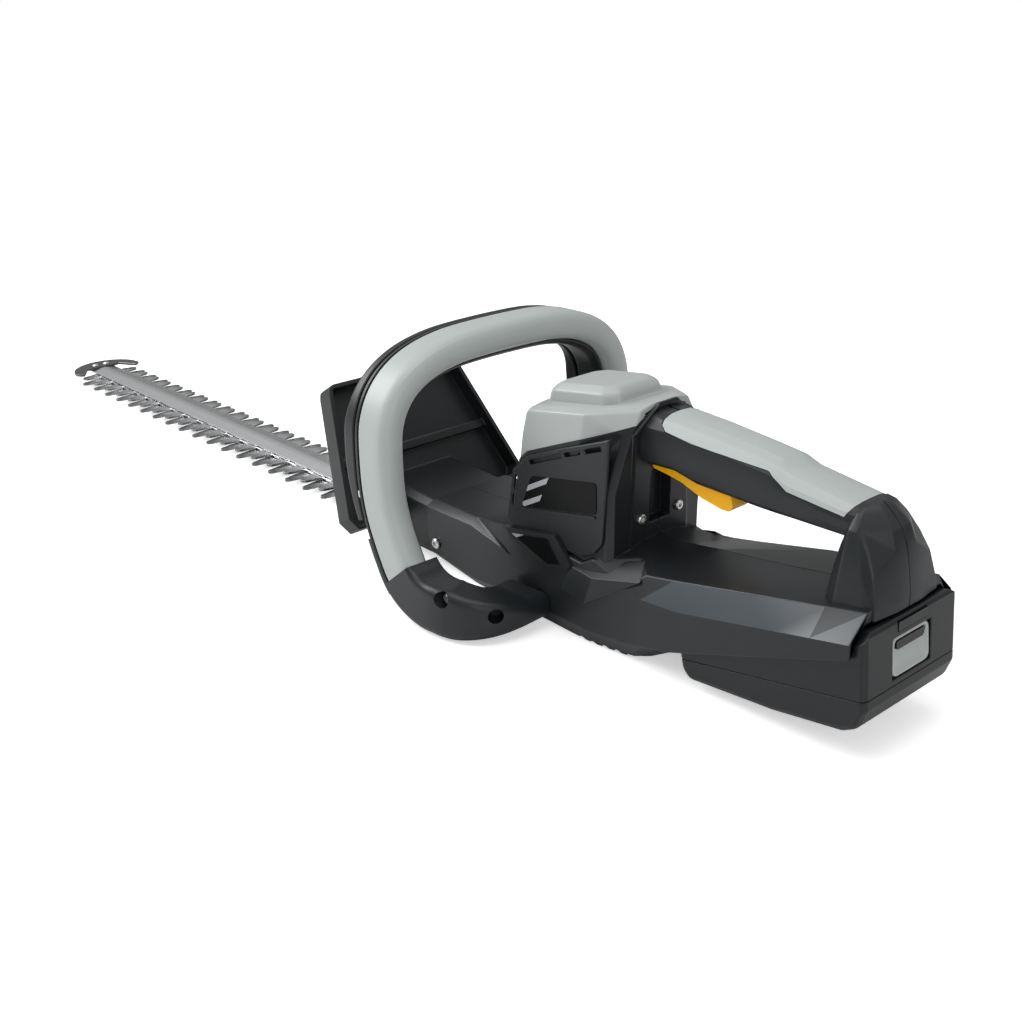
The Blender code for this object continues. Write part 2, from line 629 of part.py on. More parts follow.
def gear_case():
    """An inverted tub over the gear, with the bearing boss and the motor's seat."""
    body = cylinder((0, 0, CASE_LOW), CASE_RADIUS, CASE_ROOF_TOP - CASE_LOW, segments=32)
    seat = cylinder((MOTOR_X, 0, CASE_ROOF_LOW), MOTOR_RADIUS + MM, CASE_WALL, segments=24)
    pocket_radius = PINION_PITCH_RADIUS + GEAR_MODULE + 1.2 * MM
    nose = cylinder((MOTOR_X, 0, CASE_LOW + 0.2 * MM), pocket_radius + CASE_WALL,
                    CASE_ROOF_TOP - CASE_LOW - 0.5 * MM, segments=16)
    boss = cylinder((0, 0, CASE_ROOF_LOW + MM), BOSS_RADIUS, BOSS_TOP - CASE_ROOF_LOW - MM,
                    segments=20)
    tongue_low = GUIDE_TOP + SEAT_GAP
    tongue = box((CASE_RADIUS - 2 * MM, -GUIDE_HALF, tongue_low),
                 (CASE_TONGUE_X, GUIDE_HALF, tongue_low + 2 * CASE_WALL))
    posts = [cylinder((x, y, PLATE_TOP + SEAT_GAP), 3.5 * MM, CASE_LOW - PLATE_TOP + MM,
                      segments=8) for x, y in post_places()]
    body = join(body, seat, nose, boss, tongue, *posts)
    hollow = cylinder((0, 0, CASE_LOW - MM), CASE_RADIUS - CASE_WALL,
                      CASE_ROOF_LOW - CASE_LOW + MM, segments=32)
    pinion_room = cylinder((MOTOR_X, 0, CASE_LOW - MM), pocket_radius,
                           CASE_ROOF_LOW - CASE_LOW + 0.7 * MM, segments=16)
    bore = BEARING_RADIUS + SEAT_GAP
    lower_seat = cylinder((0, 0, CASE_ROOF_LOW - MM), bore,
                          BEARING_LOW + BEARING_WIDTH + SEAT_GAP - CASE_ROOF_LOW + MM)
    upper_seat = cylinder((0, 0, SECOND_BEARING_LOW - SEAT_GAP), bore, BOSS_TOP)
    waist = cylinder((0, 0, CASE_ROOF_LOW), SHAFT_RADIUS + 2 * MM, BOSS_TOP)
    motor_hole = cylinder((MOTOR_X, 0, CASE_LOW), 2 * MOTOR_SHAFT_RADIUS, 3 * GEAR_FACE)
    bolt_hole = cylinder((bolt_stations()[0], 0, GUIDE_TOP), BOLT_RADIUS + SEAT_GAP,
                         4 * MM, segments=16)
    return merged_flats(cut(body, hollow, pinion_room, lower_seat, upper_seat, waist,
                            motor_hole, bolt_hole))


def post_places():
    """Posts beside the blades' tails that stand on the base plate."""
    side = ECCENTRIC_RADIUS + HALF_STROKE + 4 * MM + RUNNING_GAP + 5 * MM
    along = 0.5 * CASE_RADIUS
    return [(x, y) for x in (-along, along) for y in (-side, side)]


def base_plate():
    half = CASE_RADIUS - MM
    outline = [(-CASE_RADIUS - 12 * MM, -0.6 * half), (-CASE_RADIUS, -half), (half, -half),
               (half + 12 * MM, -0.6 * half), (half + 12 * MM, 0.6 * half), (half, half),
               (-CASE_RADIUS, half), (-CASE_RADIUS - 12 * MM, 0.6 * half)]
    return prism([outline], PLATE_LOW, PLATE_TOP, "XY")


def bearing(low):
    return lathe(tube(BEARING_RADIUS, SHAFT_RADIUS + SEAT_GAP, BEARING_WIDTH), (0, 0, low))


def motor_body():
    bore = MOTOR_SHAFT_RADIUS + RUNNING_GAP
    edge = 2 * MM
    profile = [(bore, 0), (bore, MOTOR_LENGTH + 2 * MM), (0.3 * MOTOR_RADIUS, MOTOR_LENGTH + 2 * MM),
               (0.34 * MOTOR_RADIUS, MOTOR_LENGTH), (MOTOR_RADIUS - edge, MOTOR_LENGTH),
               (MOTOR_RADIUS, MOTOR_LENGTH - edge), (MOTOR_RADIUS, 0)]
    return lathe(list(reversed(profile)), (MOTOR_X, 0, MOTOR_LOW), steps=32)


def motor_shaft():
    """The motor's shaft, with the pinion cut on its lower end."""
    step = math.pi / PINION_TEETH
    outline = [(x + MOTOR_X, y) for x, y in gear_outline(PINION_TEETH, step)]
    pinion = prism([outline], GEAR_LOW - 0.5 * MM, GEAR_TOP + 0.5 * MM, "XY")
    shaft = cylinder((MOTOR_X, 0, GEAR_TOP), MOTOR_SHAFT_RADIUS, FAN_LOW + FAN_HEIGHT - GEAR_TOP,
                     segments=16)
    return join(pinion, shaft)


def motor_fan():
    """A back plate with straight blades round a hub that sits on the shaft."""
    bore, hub, plate = MOTOR_SHAFT_RADIUS + SEAT_GAP, 0.35 * FAN_RADIUS, 1.2 * MM
    profile = [(bore, FAN_HEIGHT - MM), (hub, FAN_HEIGHT - MM), (hub, plate), (FAN_RADIUS, plate),
               (FAN_RADIUS, 0), (bore, 0)]
    fan = lathe(profile, (MOTOR_X, 0, FAN_LOW), steps=27)
    for i in range(FAN_BLADES):
        vane = box((0.3 * FAN_RADIUS, -0.6 * MM, FAN_LOW + 0.5 * plate),
                   (0.97 * FAN_RADIUS, 0.6 * MM, FAN_LOW + FAN_HEIGHT))
        spin = Matrix.Rotation(2 * math.pi * (i + 0.15) / FAN_BLADES, 4, "Z")
        vane.data.transform(Matrix.Translation((MOTOR_X, 0, 0)) @ spin)
        fan = join(fan, vane)
    return fan


# ---------------------------------------------------------------- housing

def hull_rows():
    """Half sections of the housing's hull, from the neck to the rear.

    Each row: station, then half width and level of the bottom edge, the chine,
    the top of the side, the shoulder, and last the level of the crown.
    """
    neck, hull, deck, low = NECK_HALF, HULL_HALF, DECK_HALF, FLOOR_Z
    mm = MM
    return [
        (NECK_FRONT_X, neck - 9 * mm, low, neck - mm, low + 8 * mm,
         neck, 33 * mm, neck - 7 * mm, 36.5 * mm, 36.5 * mm),
        (52 * mm, neck - mm, low, neck + 1.5 * mm, low + 4 * mm,
         neck + 1.5 * mm, 34 * mm, neck - 4 * mm, 38 * mm, 38 * mm),
        (14 * mm, hull - 5 * mm, low, hull - mm, low + 9 * mm,
         hull, 30 * mm, hull - 2.5 * mm, 46 * mm, 52 * mm),
        (-20 * mm, hull - 4.5 * mm, low, hull - 0.5 * mm, low + 9 * mm,
         hull, 26 * mm, hull - 2.5 * mm, 44 * mm, 57 * mm),
        (-51 * mm, hull - 3.5 * mm, low, hull, low + 9 * mm,
         hull, 16.5 * mm, hull - 2 * mm, 42 * mm, 57 * mm),
        (-59 * mm, hull - 3.5 * mm, low, hull, low + 9 * mm,
         hull, 34 * mm, hull - 3 * mm, 46.5 * mm, 57 * mm),
        (-85 * mm, deck + mm, low + mm, hull - 1.5 * mm, low + 11 * mm,
         hull - 2.5 * mm, 39 * mm, deck - 10 * mm, 51.5 * mm, 54 * mm),
        (-98 * mm, deck - 4 * mm, low + 4 * mm, hull - mm, low + 14 * mm,
         hull - mm, 35 * mm, deck, 48.5 * mm, 56 * mm),
        (-118 * mm, hull - 6 * mm, low + 16.5 * mm, hull, low + 18.5 * mm,
         hull, 37 * mm, deck, 52.2 * mm, 59 * mm),
        (-166 * mm, hull - 6 * mm, low + 33.5 * mm, hull, low + 35 * mm,
         hull, 46.7 * mm, deck, 62 * mm, 64.5 * mm),
        (-188 * mm, hull - 6 * mm, low + 41.3 * mm, hull, low + 42.8 * mm,
         hull, 51.1 * mm, deck - 2 * mm, 65.4 * mm, 67.8 * mm),
        (-210 * mm, hull - 6 * mm, low + 49.2 * mm, hull, low + 50.7 * mm,
         hull, 55.5 * mm, deck - 4 * mm, 68.7 * mm, 71.2 * mm),
        (REAR_X, hull - 6 * mm, low + 57 * mm, hull, low + 58.5 * mm,
         hull, 59.8 * mm, deck - 6 * mm, 72 * mm, 74.5 * mm),
    ]


def hull_row(x):
    """The half section at any station, between its two neighbours."""
    rows = hull_rows()
    for front, rear in zip(rows, rows[1:]):
        if front[0] >= x >= rear[0]:
            share = (front[0] - x) / (front[0] - rear[0])
            return tuple(a + (b - a) * share for a, b in zip(front, rear))
    raise ValueError("no hull section at this station")


def hull_loft(first_x, last_x, inset=0.0):
    stations = [first_x]
    stations += [row[0] for row in hull_rows() if last_x < row[0] < first_x]
    stations += [last_x]
    rings = []
    for x in stations:
        row = hull_row(x)[1:]
        half = [(row[i], row[i + 1]) for i in range(0, 8, 2)]
        outline = half + [(0, row[8])] + [(-y, z) for y, z in reversed(half)]
        if inset:
            outline = offset_outline(outline, inset)
        rings.append([(x, y, z) for y, z in outline])
    return loft(rings)


def tower_rings(inset=0.0):
    """Rings round the motor tower and its rear leg, from inside the hull to the cap's crown."""
    front, rear, half, leg = TOWER_FRONT_X, TOWER_REAR_X, TOWER_HALF, LEG_HALF
    crest, mm = CAP_CREST_Z, MM
    levels = [
        # lean of the front, corner half width, side at the front and at the rear,
        # leg's half width, set forward of the rear, z front, z rear
        (0, 29 * mm, half, half, leg + mm, 4 * mm, 30 * mm, 30 * mm),
        (6 * mm, 28.5 * mm, half, half, leg, 3 * mm, 58 * mm, 58 * mm),
        (12 * mm, 28 * mm, half, half, leg - 2 * mm, 2 * mm, 88 * mm, 88 * mm),
        (15 * mm, 27 * mm, half, half - 9 * mm, leg, -2 * mm, crest - 16 * mm,
         crest + CAP_RISE - 12 * mm),
        (18 * mm, 25 * mm, half - 1.5 * mm, half - 17 * mm, leg - 9 * mm, -4 * mm, crest,
         crest + CAP_RISE),
        (22 * mm, 20 * mm, half - 6 * mm, half - 25 * mm, leg - 16 * mm, -3.5 * mm,
         crest + 2.5 * mm, crest + CAP_RISE + 2 * mm),
    ]
    rings = []
    for i, (lean, corner, side, side_rear, leg_half, forward, z_front, z_rear) in enumerate(levels):
        end = rear + forward
        half_outline = [
            (front - lean, corner), (front - lean - 4 * mm, side), (end + 30 * mm, side),
            (end + 5.5 * mm, side_rear),
            (end + 1.5 * mm, side_rear - 3 * mm), (end + 0.7 * mm, leg_half + mm),
            (end, leg_half - mm),
        ]
        outline = half_outline + [(x, -y) for x, y in reversed(half_outline)]
        if inset:
            outline = offset_outline(outline, inset)
        drop = inset if i >= len(levels) - 2 else 0
        ring_points = []
        for x, y in outline:
            share = (front - x) / (front - rear)
            ring_points.append((x, y, z_front + (z_rear - z_front) * share - drop))
        rings.append(ring_points)
    return rings


def cap_line(gap=0.0):
    """Side view of the space above the line where the cap meets the housing."""
    mm = MM
    line = [(8 * mm, 87 * mm), (-4 * mm, 97 * mm), (-34 * mm, 109 * mm),
            (TOWER_REAR_X - mm, 125.5 * mm)]
    line = [(x, z + gap) for x, z in line]
    front = TOWER_FRONT_X + 20 * mm
    rear = line[-1][0] + gap
    line[-1] = (rear, line[-1][1])
    return [(front, line[0][1])] + line + [(rear, 160 * mm), (front, 160 * mm)]


def grip_rings(inset=0.0):
    """Rings along the rear grip, flat below and round above."""
    low, high, half, drop = GRIP_BOTTOM_Z, GRIP_TOP_Z, GRIP_HALF, GRIP_DROP
    mm = MM
    rows = [
        (TOWER_REAR_X + 10 * mm, low + 6 * mm, high + 1 * mm, half + 3 * mm),
        (TOWER_REAR_X - 4 * mm, low + 5 * mm, high, half + 1.5 * mm),
        (TOWER_REAR_X - 20 * mm, low + 5 * mm, high - 0.5 * mm, half),
        (TOWER_REAR_X - 36 * mm, low + 1.5 * mm, high - 1.5 * mm, half),
        (TOWER_REAR_X - 72 * mm, low, high - 0.3 * drop, half - 0.5 * mm),
        (TOWER_REAR_X - 87 * mm, low, high - 0.42 * drop, half - 0.5 * mm),
        (TOWER_REAR_X - 96 * mm, low, high - 0.62 * drop, half - mm),
        (COLUMN_FRONT_X + 14 * mm, low, high - 0.78 * drop, half - mm),
        (COLUMN_FRONT_X - 10 * mm, low, high - drop, half - mm),
    ]
    shape = [(0.72, 0.0), (0.93, 0.10), (1.0, 0.30), (1.0, 0.52), (0.93, 0.74), (0.74, 0.91),
             (0.40, 0.985)]
    rings = []
    for x, z_low, z_high, half_width in rows:
        outline = [(half_width * u, z_low + (z_high - z_low) * v) for u, v in shape]
        outline += [(0, z_high)] + [(-y, z) for y, z in reversed(outline)]
        if inset:
            outline = offset_outline(outline, inset)
        rings.append([(x, y, z) for y, z in outline])
    return rings


def overmould_region(gap=0.0):
    """Side view of the space above the soft grip's stepped edge."""
    mm = MM
    top = GRIP_TOP_Z + 20 * mm
    edge = [(TOWER_REAR_X - 12 * mm, 127 * mm), (TOWER_REAR_X - 16 * mm, 124 * mm),
            (TOWER_REAR_X - 34 * mm, 121.5 * mm), (TOWER_REAR_X - 84 * mm, 119 * mm),
            (TOWER_REAR_X - 96 * mm, 111.5 * mm), (COLUMN_FRONT_X - 2 * mm, 108 * mm),
            (COLUMN_FRONT_X - 8 * mm, 118 * mm)]
    points = edge + [(COLUMN_FRONT_X - 9 * mm, top), (TOWER_REAR_X - 11 * mm, top)]
    return offset_outline(points, gap) if gap else points


def column_rings(inset=0.0):
    """Rings up the rear column, wide at its foot and rounded at its top."""
    front, rear, half, mm = COLUMN_FRONT_X, REAR_X - 3 * MM, COLUMN_HALF, MM
    rows = [
        # level, front, rear at the middle, rear corner, half width
        (54 * mm, front + 2 * mm, rear, rear + mm, half + 9 * mm),
        (72 * mm, front, rear, rear + 2 * mm, half + 7.5 * mm),
        (86 * mm, front - 2 * mm, rear + 2 * mm, rear + 5.5 * mm, half + 5.5 * mm),
        (96 * mm, front - 3.5 * mm, rear + 4 * mm, rear + 10.5 * mm, half + 3 * mm),
        (105 * mm, front - 5.5 * mm, rear + 7.5 * mm, rear + 16.5 * mm, half + 0.5 * mm),
        (111.5 * mm, front - 7 * mm, rear + 14 * mm, rear + 20 * mm, half - 5 * mm),
        (115 * mm, front - 8 * mm, rear + 18.5 * mm, rear + 21.7 * mm, half - 11 * mm),
    ]
    rings = []
    for z, x_front, x_rear, x_corner, half_width in rows:
        bevel = 0.25 * (x_front - x_corner)
        half_outline = [(x_front, 0.85 * half_width), (x_front - bevel, half_width),
                        (x_corner + bevel, half_width), (x_corner, 0.93 * half_width),
                        (x_rear, 0.35 * half_width)]
        outline = half_outline + [(x, -y) for x, y in reversed(half_outline)]
        if inset:
            outline = offset_outline(outline, inset)
        level = z - (inset if z > 110 * mm else 0)
        rings.append([(x, y, level) for x, y in outline])
    return rings


# ---------------------------------------------------------------- housing shell

def across(x, z, radius, y_from, y_to, segments=16):
    """A cylinder along Y between two widths."""
    low, high = min(y_from, y_to), max(y_from, y_to)
    return cylinder((x, low, z), radius, high - low, axis=(0, 1, 0), segments=segments)


def slide_point(x, z, run):
    """A point further along the battery's slide, up to the rear."""
    return (x - run * math.cos(BATTERY_SLOPE), z + run * math.sin(BATTERY_SLOPE))


def slide_band(x, z, start, end, half):
    """A strip along the slide, seen from the side."""
    across_slide = (half * math.sin(BATTERY_SLOPE), half * math.cos(BATTERY_SLOPE))
    first, last = slide_point(x, z, start), slide_point(x, z, end)
    return [(first[0] - across_slide[0], first[1] - across_slide[1]),
            (last[0] - across_slide[0], last[1] - across_slide[1]),
            (last[0] + across_slide[0], last[1] + across_slide[1]),
            (first[0] + across_slide[0], first[1] + across_slide[1])]


def rail_start():
    """Front end of the battery rails, a little above the skirt's edge."""
    x = BATTERY_FRONT_X - 8 * MM
    return x, hull_row(x)[4] + 6 * MM


def terminal_place():
    """Front upper corner of the recess for the terminal block."""
    return BATTERY_FRONT_X - 1.5 * MM, 25 * MM


def bay_mouth():
    """The open underside of the battery bay, seen from the side."""
    front = BULKHEAD_X - BULKHEAD_THICKNESS
    lift = 8 * MM
    below = FLOOR_Z - 10 * MM
    return [(front, below), (front, hull_row(front)[4] + lift),
            (REAR_X, hull_row(REAR_X)[4] + lift), (REAR_X - 10 * MM, hull_row(REAR_X)[4] + lift),
            (REAR_X - 10 * MM, below)]


def housing_halves():
    """The two clamshell halves: one hollow form parted at the middle plane."""
    mm = MM
    wall = HOUSING_WALL
    wide = 60 * mm
    inner = HOUSING_INNER_HALF
    bay_front = BULKHEAD_X - BULKHEAD_THICKNESS
    shell = join(hull_loft(NECK_FRONT_X, REAR_X), loft(tower_rings()), loft(grip_rings()),
                 loft(column_rings()))
    cap_space = prism([cap_line(-SEAT_GAP)], -wide, wide)
    soft_space = cut(prism([overmould_region()], -wide, wide),
                     loft(grip_rings(OVERMOULD_THICKNESS + SEAT_GAP)))
    mouth, corner = BATTERY_HALF + RUNNING_GAP, BATTERY_TOP_EDGE + RUNNING_GAP
    rear_mouth = [(-mouth, REAR_MOUTH_Z - 22 * mm), (mouth, REAR_MOUTH_Z - 22 * mm),
                  (mouth, REAR_MOUTH_Z - corner), (mouth - corner, REAR_MOUTH_Z),
                  (corner - mouth, REAR_MOUTH_Z), (-mouth, REAR_MOUTH_Z - corner)]
    shell = cut(
        shell, cap_space, soft_space,
        hull_loft(NECK_FRONT_X - wall, BULKHEAD_X, wall),
        loft(tower_rings(wall)),
        loft(grip_rings(OVERMOULD_THICKNESS + wall)),
        loft(column_rings(wall)),
        hull_loft(bay_front, REAR_X + wall, wall),
        prism([bay_mouth()], -inner, inner),
        prism([rear_mouth], REAR_X - 5 * mm, REAR_X + 2 * wall, "YZ"),
        box((NECK_FRONT_X - 5 * mm, -BLADE_MOUTH_HALF, PLATE_LOW),
            (NECK_FRONT_X + 5 * mm, BLADE_MOUTH_HALF, 17 * mm)),
        box((NECK_FRONT_X - 5 * mm, -NECK_HALF + wall + 0.4 * mm, 1.5 * mm),
            (NECK_FRONT_X + 5 * mm, NECK_HALF - wall - 0.4 * mm, 17 * mm)))
    shell = join(shell, *housing_supports())
    shell = cut(shell, *housing_holes())
    halves = []
    for side in (1, -1):
        low, high = sorted((side * PARTING_GAP / 2, -side * 3 * HULL_HALF))
        other_side = box((REAR_X - 50 * mm, low, FLOOR_Z - 50 * mm),
                         (NECK_FRONT_X + 50 * mm, high, BAIL_TOP_Z + 50 * mm))
        half = combine(copy_of(shell), [other_side], "DIFFERENCE", "MANIFOLD")
        halves.append(merged_flats(half))
    discard(shell)
    return halves


def housing_supports():
    """Pocket, pivot ears, switch ribs, battery rails and screw bosses inside the shell."""
    mm = MM
    wall = HOUSING_WALL
    inner = HOUSING_INNER_HALF
    pocket_x = TOWER_REAR_X + POCKET_DEPTH
    solids = [box((TOWER_REAR_X + 4.5 * mm, -POCKET_HALF - wall, POCKET_LOW_Z - wall),
                  (pocket_x + wall, POCKET_HALF + wall, GRIP_BOTTOM_Z + 2 * mm))]
    ear_low = TRIGGER_HALF + RUNNING_GAP + SEAT_GAP
    for side in (1, -1):
        near, far = sorted((side * ear_low, side * (ear_low + 3.6 * mm)))
        solids.append(box((TRIGGER_PIVOT_X - 5.5 * mm, near, GRIP_BOTTOM_Z + 4 * mm),
                          (TRIGGER_PIVOT_X + 0.5 * mm + PIN_RADIUS * 2, far,
                           TRIGGER_PIVOT_Z + PIN_RADIUS + 3.5 * mm)))
        near, far = sorted((side * (inner - RAIL_REACH), side * (inner + 0.8 * mm)))
        x, z = rail_start()
        solids.append(prism([slide_band(x, z, 0, RAIL_LENGTH, RAIL_HALF)], near, far))
    switch_front, switch_rear = switch_ends()
    for x_low in (switch_front + SEAT_GAP, switch_rear - SEAT_GAP - 2 * mm):
        rib = box((x_low, -GRIP_HALF, switch_low() - mm), (x_low + 2 * mm, GRIP_HALF, GRIP_TOP_Z))
        solids.append(common(rib, loft(grip_rings(OVERMOULD_THICKNESS + 1.4 * mm))))
    for x, z, half in SCREW_PLACES:
        solids.append(across(x, z, SCREW_BOSS_RADIUS, -half, half))
    return solids


def housing_holes():
    """Recesses, slots and screw holes cut after the supports are in."""
    mm = MM
    wide = 60 * mm
    tools = [
        box((TOWER_REAR_X - 5 * mm, -POCKET_HALF, POCKET_LOW_Z),
            (TOWER_REAR_X + POCKET_DEPTH, POCKET_HALF, GRIP_BOTTOM_Z - mm)),
        box((TRIGGER_PIVOT_X - TRIGGER_REACH - 4 * mm, -TRIGGER_HALF - RUNNING_GAP,
             GRIP_BOTTOM_Z - 7 * mm),
            (TRIGGER_PIVOT_X + 8 * mm, TRIGGER_HALF + RUNNING_GAP, GRIP_BOTTOM_Z + 12 * mm)),
        across(TRIGGER_PIVOT_X, TRIGGER_PIVOT_Z, PIN_RADIUS + SEAT_GAP, -wide / 4, wide / 4),
        across(GUARD_SCREW_X, GUARD_SCREW_Z, SCREW_RADIUS + SEAT_GAP, -wide, wide),
        across(ARM_X, ARM_Z, SCREW_RADIUS + SEAT_GAP, -wide, wide),
    ]
    for side in (1, -1):
        seat = side * (NECK_HALF - 1.7 * mm)
        tools.append(across(GUARD_SCREW_X, GUARD_SCREW_Z, SCREW_HEAD_RADIUS + SEAT_GAP,
                            seat, side * wide))
    for x, z, half in SCREW_PLACES:
        shank = across(x, z, SCREW_RADIUS + SEAT_GAP, -SCREW_SEAT_Y - mm, SCREW_SEAT_Y)
        head = across(x, z, SCREW_HEAD_RADIUS + SEAT_GAP, -half - SCREW_SEAT_Y, -SCREW_SEAT_Y)
        tools.append(join(head, shank))
    return tools


def motor_cap():
    """The light dome over the motor, with its raised plateau, open below."""
    mm = MM
    keep = prism([cap_line()], -60 * mm, 60 * mm)
    outer = common(join(loft(tower_rings()), loft(plateau_rings())), keep)
    return cut(outer, loft(tower_rings(SHELL_WALL)), loft(plateau_rings(SHELL_WALL)))


def plateau_rings(inset=0.0):
    """Foot, brow and crown of the cap's raised plateau, rising to the rear."""
    mm = MM
    foot = [(-mm, 17 * mm), (-6 * mm, 23 * mm), (-52 * mm, 23 * mm), (-60 * mm, 17 * mm)]
    brow = [(-3.5 * mm, 16.5 * mm), (-9 * mm, 22 * mm), (-51 * mm, 22 * mm),
            (-58 * mm, 16 * mm)]
    crown = [(-9 * mm, 13 * mm), (-14 * mm, 17.5 * mm), (-47 * mm, 17 * mm),
             (-52.5 * mm, 12 * mm)]
    rings = []
    for half, level, rise in ((foot, CAP_CREST_Z - 3 * mm - 3 * inset, CAP_RISE),
                              (brow, CAP_CREST_Z + 12.5 * mm - inset, 0.6 * CAP_RISE),
                              (crown, CAP_CREST_Z + 16.3 * mm - inset, 0.6 * CAP_RISE)):
        outline = half + [(x, -y) for x, y in reversed(half)]
        if inset:
            outline = offset_outline(outline, inset)
        run = TOWER_FRONT_X - TOWER_REAR_X - 28 * mm
        rings.append([(x, y, level - rise * x / run) for x, y in outline])
    return rings


def panel_outline():
    """Side view of the vent panel, from its front foot round to its rear."""
    mm = MM
    gap = 1.2 * mm
    top = cap_line(-gap)
    rear = TOWER_REAR_X
    return [(12 * mm, 47.2 * mm), (14 * mm, 51 * mm), (7 * mm, top[1][1] - 1.5 * mm),
            (top[2][0] - mm, top[2][1] - mm), (top[3][0] - mm, top[3][1] - mm),
            (rear + 2.5 * mm, 121 * mm), (rear + 5 * mm, 93 * mm),
            (rear + 9 * mm, 58 * mm), (rear + 16 * mm, 50 * mm), (rear + 27 * mm, 45 * mm)]


def vent_panel(side):
    """The side panel with the slots that follow its front and upper edges."""
    near, far = TOWER_HALF + SEAT_GAP, TOWER_HALF + SEAT_GAP + PANEL_THICKNESS
    low, high = sorted((side * near, side * far))
    plate = bevelled(prism([panel_outline()], low, high), 0.8 * MM, segments=1)
    return cut(plate, *vent_slots(low - MM, high + MM))


def vent_slots(low, high):
    """Slots in a row along the panel's front and upper border."""
    border = [Vector(point) for point in offset_outline(panel_outline(), 4 * MM)]
    shares = {1: ((0.30, 0.55), (0.65, 0.97)), 3: ((0.03, 0.97),), 4: ((0.05, 0.45), (0.55, 0.95))}
    slots = []
    for start, spans in shares.items():
        near, far = border[start], border[start + 1]
        along = (far - near).normalized()
        side = Vector((-along.y, along.x)) * SLOT_HALF
        for first, last in spans:
            p, q = near.lerp(far, first), near.lerp(far, last)
            slots.append(prism([[tuple(p - side), tuple(q - side), tuple(q + side),
                                 tuple(p + side)]], low, high))
    return slots


def grip_overmould():
    """The soft skin on the rear grip, with its stepped lower edge."""
    keep = prism([overmould_region(SEAT_GAP)], -60 * MM, 60 * MM)
    return cut(common(loft(grip_rings()), keep), loft(grip_rings(OVERMOULD_THICKNESS)),
               loft(column_rings(-SEAT_GAP)), loft(tower_rings(-SEAT_GAP)))


# ---------------------------------------------------------------- trigger

def trigger():
    """A long lever, hooked at its nose, that hangs below the grip."""
    mm = MM
    x, z = TRIGGER_PIVOT_X, TRIGGER_PIVOT_Z
    rear = x - TRIGGER_REACH
    low = GRIP_BOTTOM_Z - TRIGGER_DROP
    outline = arc((x, z), 4 * mm, -30, 90, 4)
    outline += [(x - 9 * mm, z + 3.5 * mm), (rear + 6 * mm, z), (rear + mm, low + 12 * mm),
                (rear - mm, low + 4 * mm), (rear + 2 * mm, low + mm), (rear + 8 * mm, low + mm),
                (rear + 21 * mm, low + 3.5 * mm), (rear + 35 * mm, low + 8.5 * mm),
                (x - 10 * mm, low + 10.8 * mm), (x - mm, low + 12 * mm)]
    body = bevelled(prism([outline], -TRIGGER_HALF, TRIGGER_HALF), 1.4 * mm, segments=2, angle=40)
    return cut(body, across(x, z, PIN_RADIUS + SEAT_GAP, -2 * TRIGGER_HALF, 2 * TRIGGER_HALF))


def trigger_pin():
    half = TRIGGER_HALF + RUNNING_GAP + SEAT_GAP + 3.2 * MM
    return across(TRIGGER_PIVOT_X, TRIGGER_PIVOT_Z, PIN_RADIUS, -half, half)


def switch_ends():
    """Front and rear of the main switch."""
    front = TRIGGER_PIVOT_X - 26 * MM
    return front, front - 26 * MM


def switch_low():
    """The switch hangs clear of the trigger when that is pressed."""
    rise = TRIGGER_REACH * math.sin(TRIGGER_SWING)
    return TRIGGER_PIVOT_Z + rise + MM


def main_switch():
    """The switch inside the grip, above the trigger."""
    front, rear = switch_ends()
    low = switch_low()
    body = box((rear, -7 * MM, low), (front, 7 * MM, low + 9 * MM))
    return bevelled(body, MM, segments=1)


def control_board():
    """A flat board on the front of the bulkhead."""
    x = BULKHEAD_X + SEAT_GAP
    board = box((x, -0.8 * DECK_HALF, 14 * MM), (x + 1.6 * MM, 0.8 * DECK_HALF, 48 * MM))
    chips = [box((x + MM, y, z), (x + 5 * MM, y + 9 * MM, z + 8 * MM))
             for y in (-22 * MM, 4 * MM) for z in (19 * MM, 34 * MM)]
    return join(board, *chips)


def side_screw(x, z, seat, inward, length):
    """A pan head screw along Y; its head rests on a seat and it points inward."""
    head_end = seat - inward * SCREW_HEAD_HEIGHT
    head = across(x, z, SCREW_HEAD_RADIUS, head_end, seat)
    shank = across(x, z, SCREW_RADIUS, seat - inward * 0.5 * SCREW_HEAD_HEIGHT,
                   seat + inward * length, segments=12)
    drive = across(x, z, 0.5 * SCREW_HEAD_RADIUS, head_end - inward * MM,
                   head_end + inward * 0.5 * SCREW_HEAD_HEIGHT, segments=6)
    return cut(join(head, shank), drive)


# ---------------------------------------------------------------- hand guard

def guard_point(u, v, w):
    """A point of the guard: across, down its face, and forward from its rear rim."""
    down = Vector((-math.sin(GUARD_LEAN), 0, -math.cos(GUARD_LEAN)))
    forward = Vector((math.cos(GUARD_LEAN), 0, -math.sin(GUARD_LEAN)))
    origin = Vector((GUARD_TOP_X, 0, GUARD_TOP_Z)) - forward * GUARD_RIM / 2
    return origin + Vector((0, u, 0)) + down * v + forward * w


def guard_outline(inset=0.0):
    """The guard's outline in its own plane, wider below, with cut corners."""
    length = (GUARD_TOP_Z - GUARD_LOW_Z) / math.cos(GUARD_LEAN)
    top, low, mm = GUARD_TOP_HALF, GUARD_LOW_HALF, MM
    half = [(top - 5 * mm, 0), (top - 1.5 * mm, 1.5 * mm), (top, 5 * mm),
            (low, length - 9 * mm), (low - 5 * mm, length)]
    outline = half + [(-u, v) for u, v in reversed(half)]
    return offset_outline(outline, inset) if inset else outline


def guard_block(outline, w_low, w_high):
    near = [guard_point(u, v, w_low) for u, v in outline]
    far = [guard_point(u, v, w_high) for u, v in outline]
    return loft([near, far])


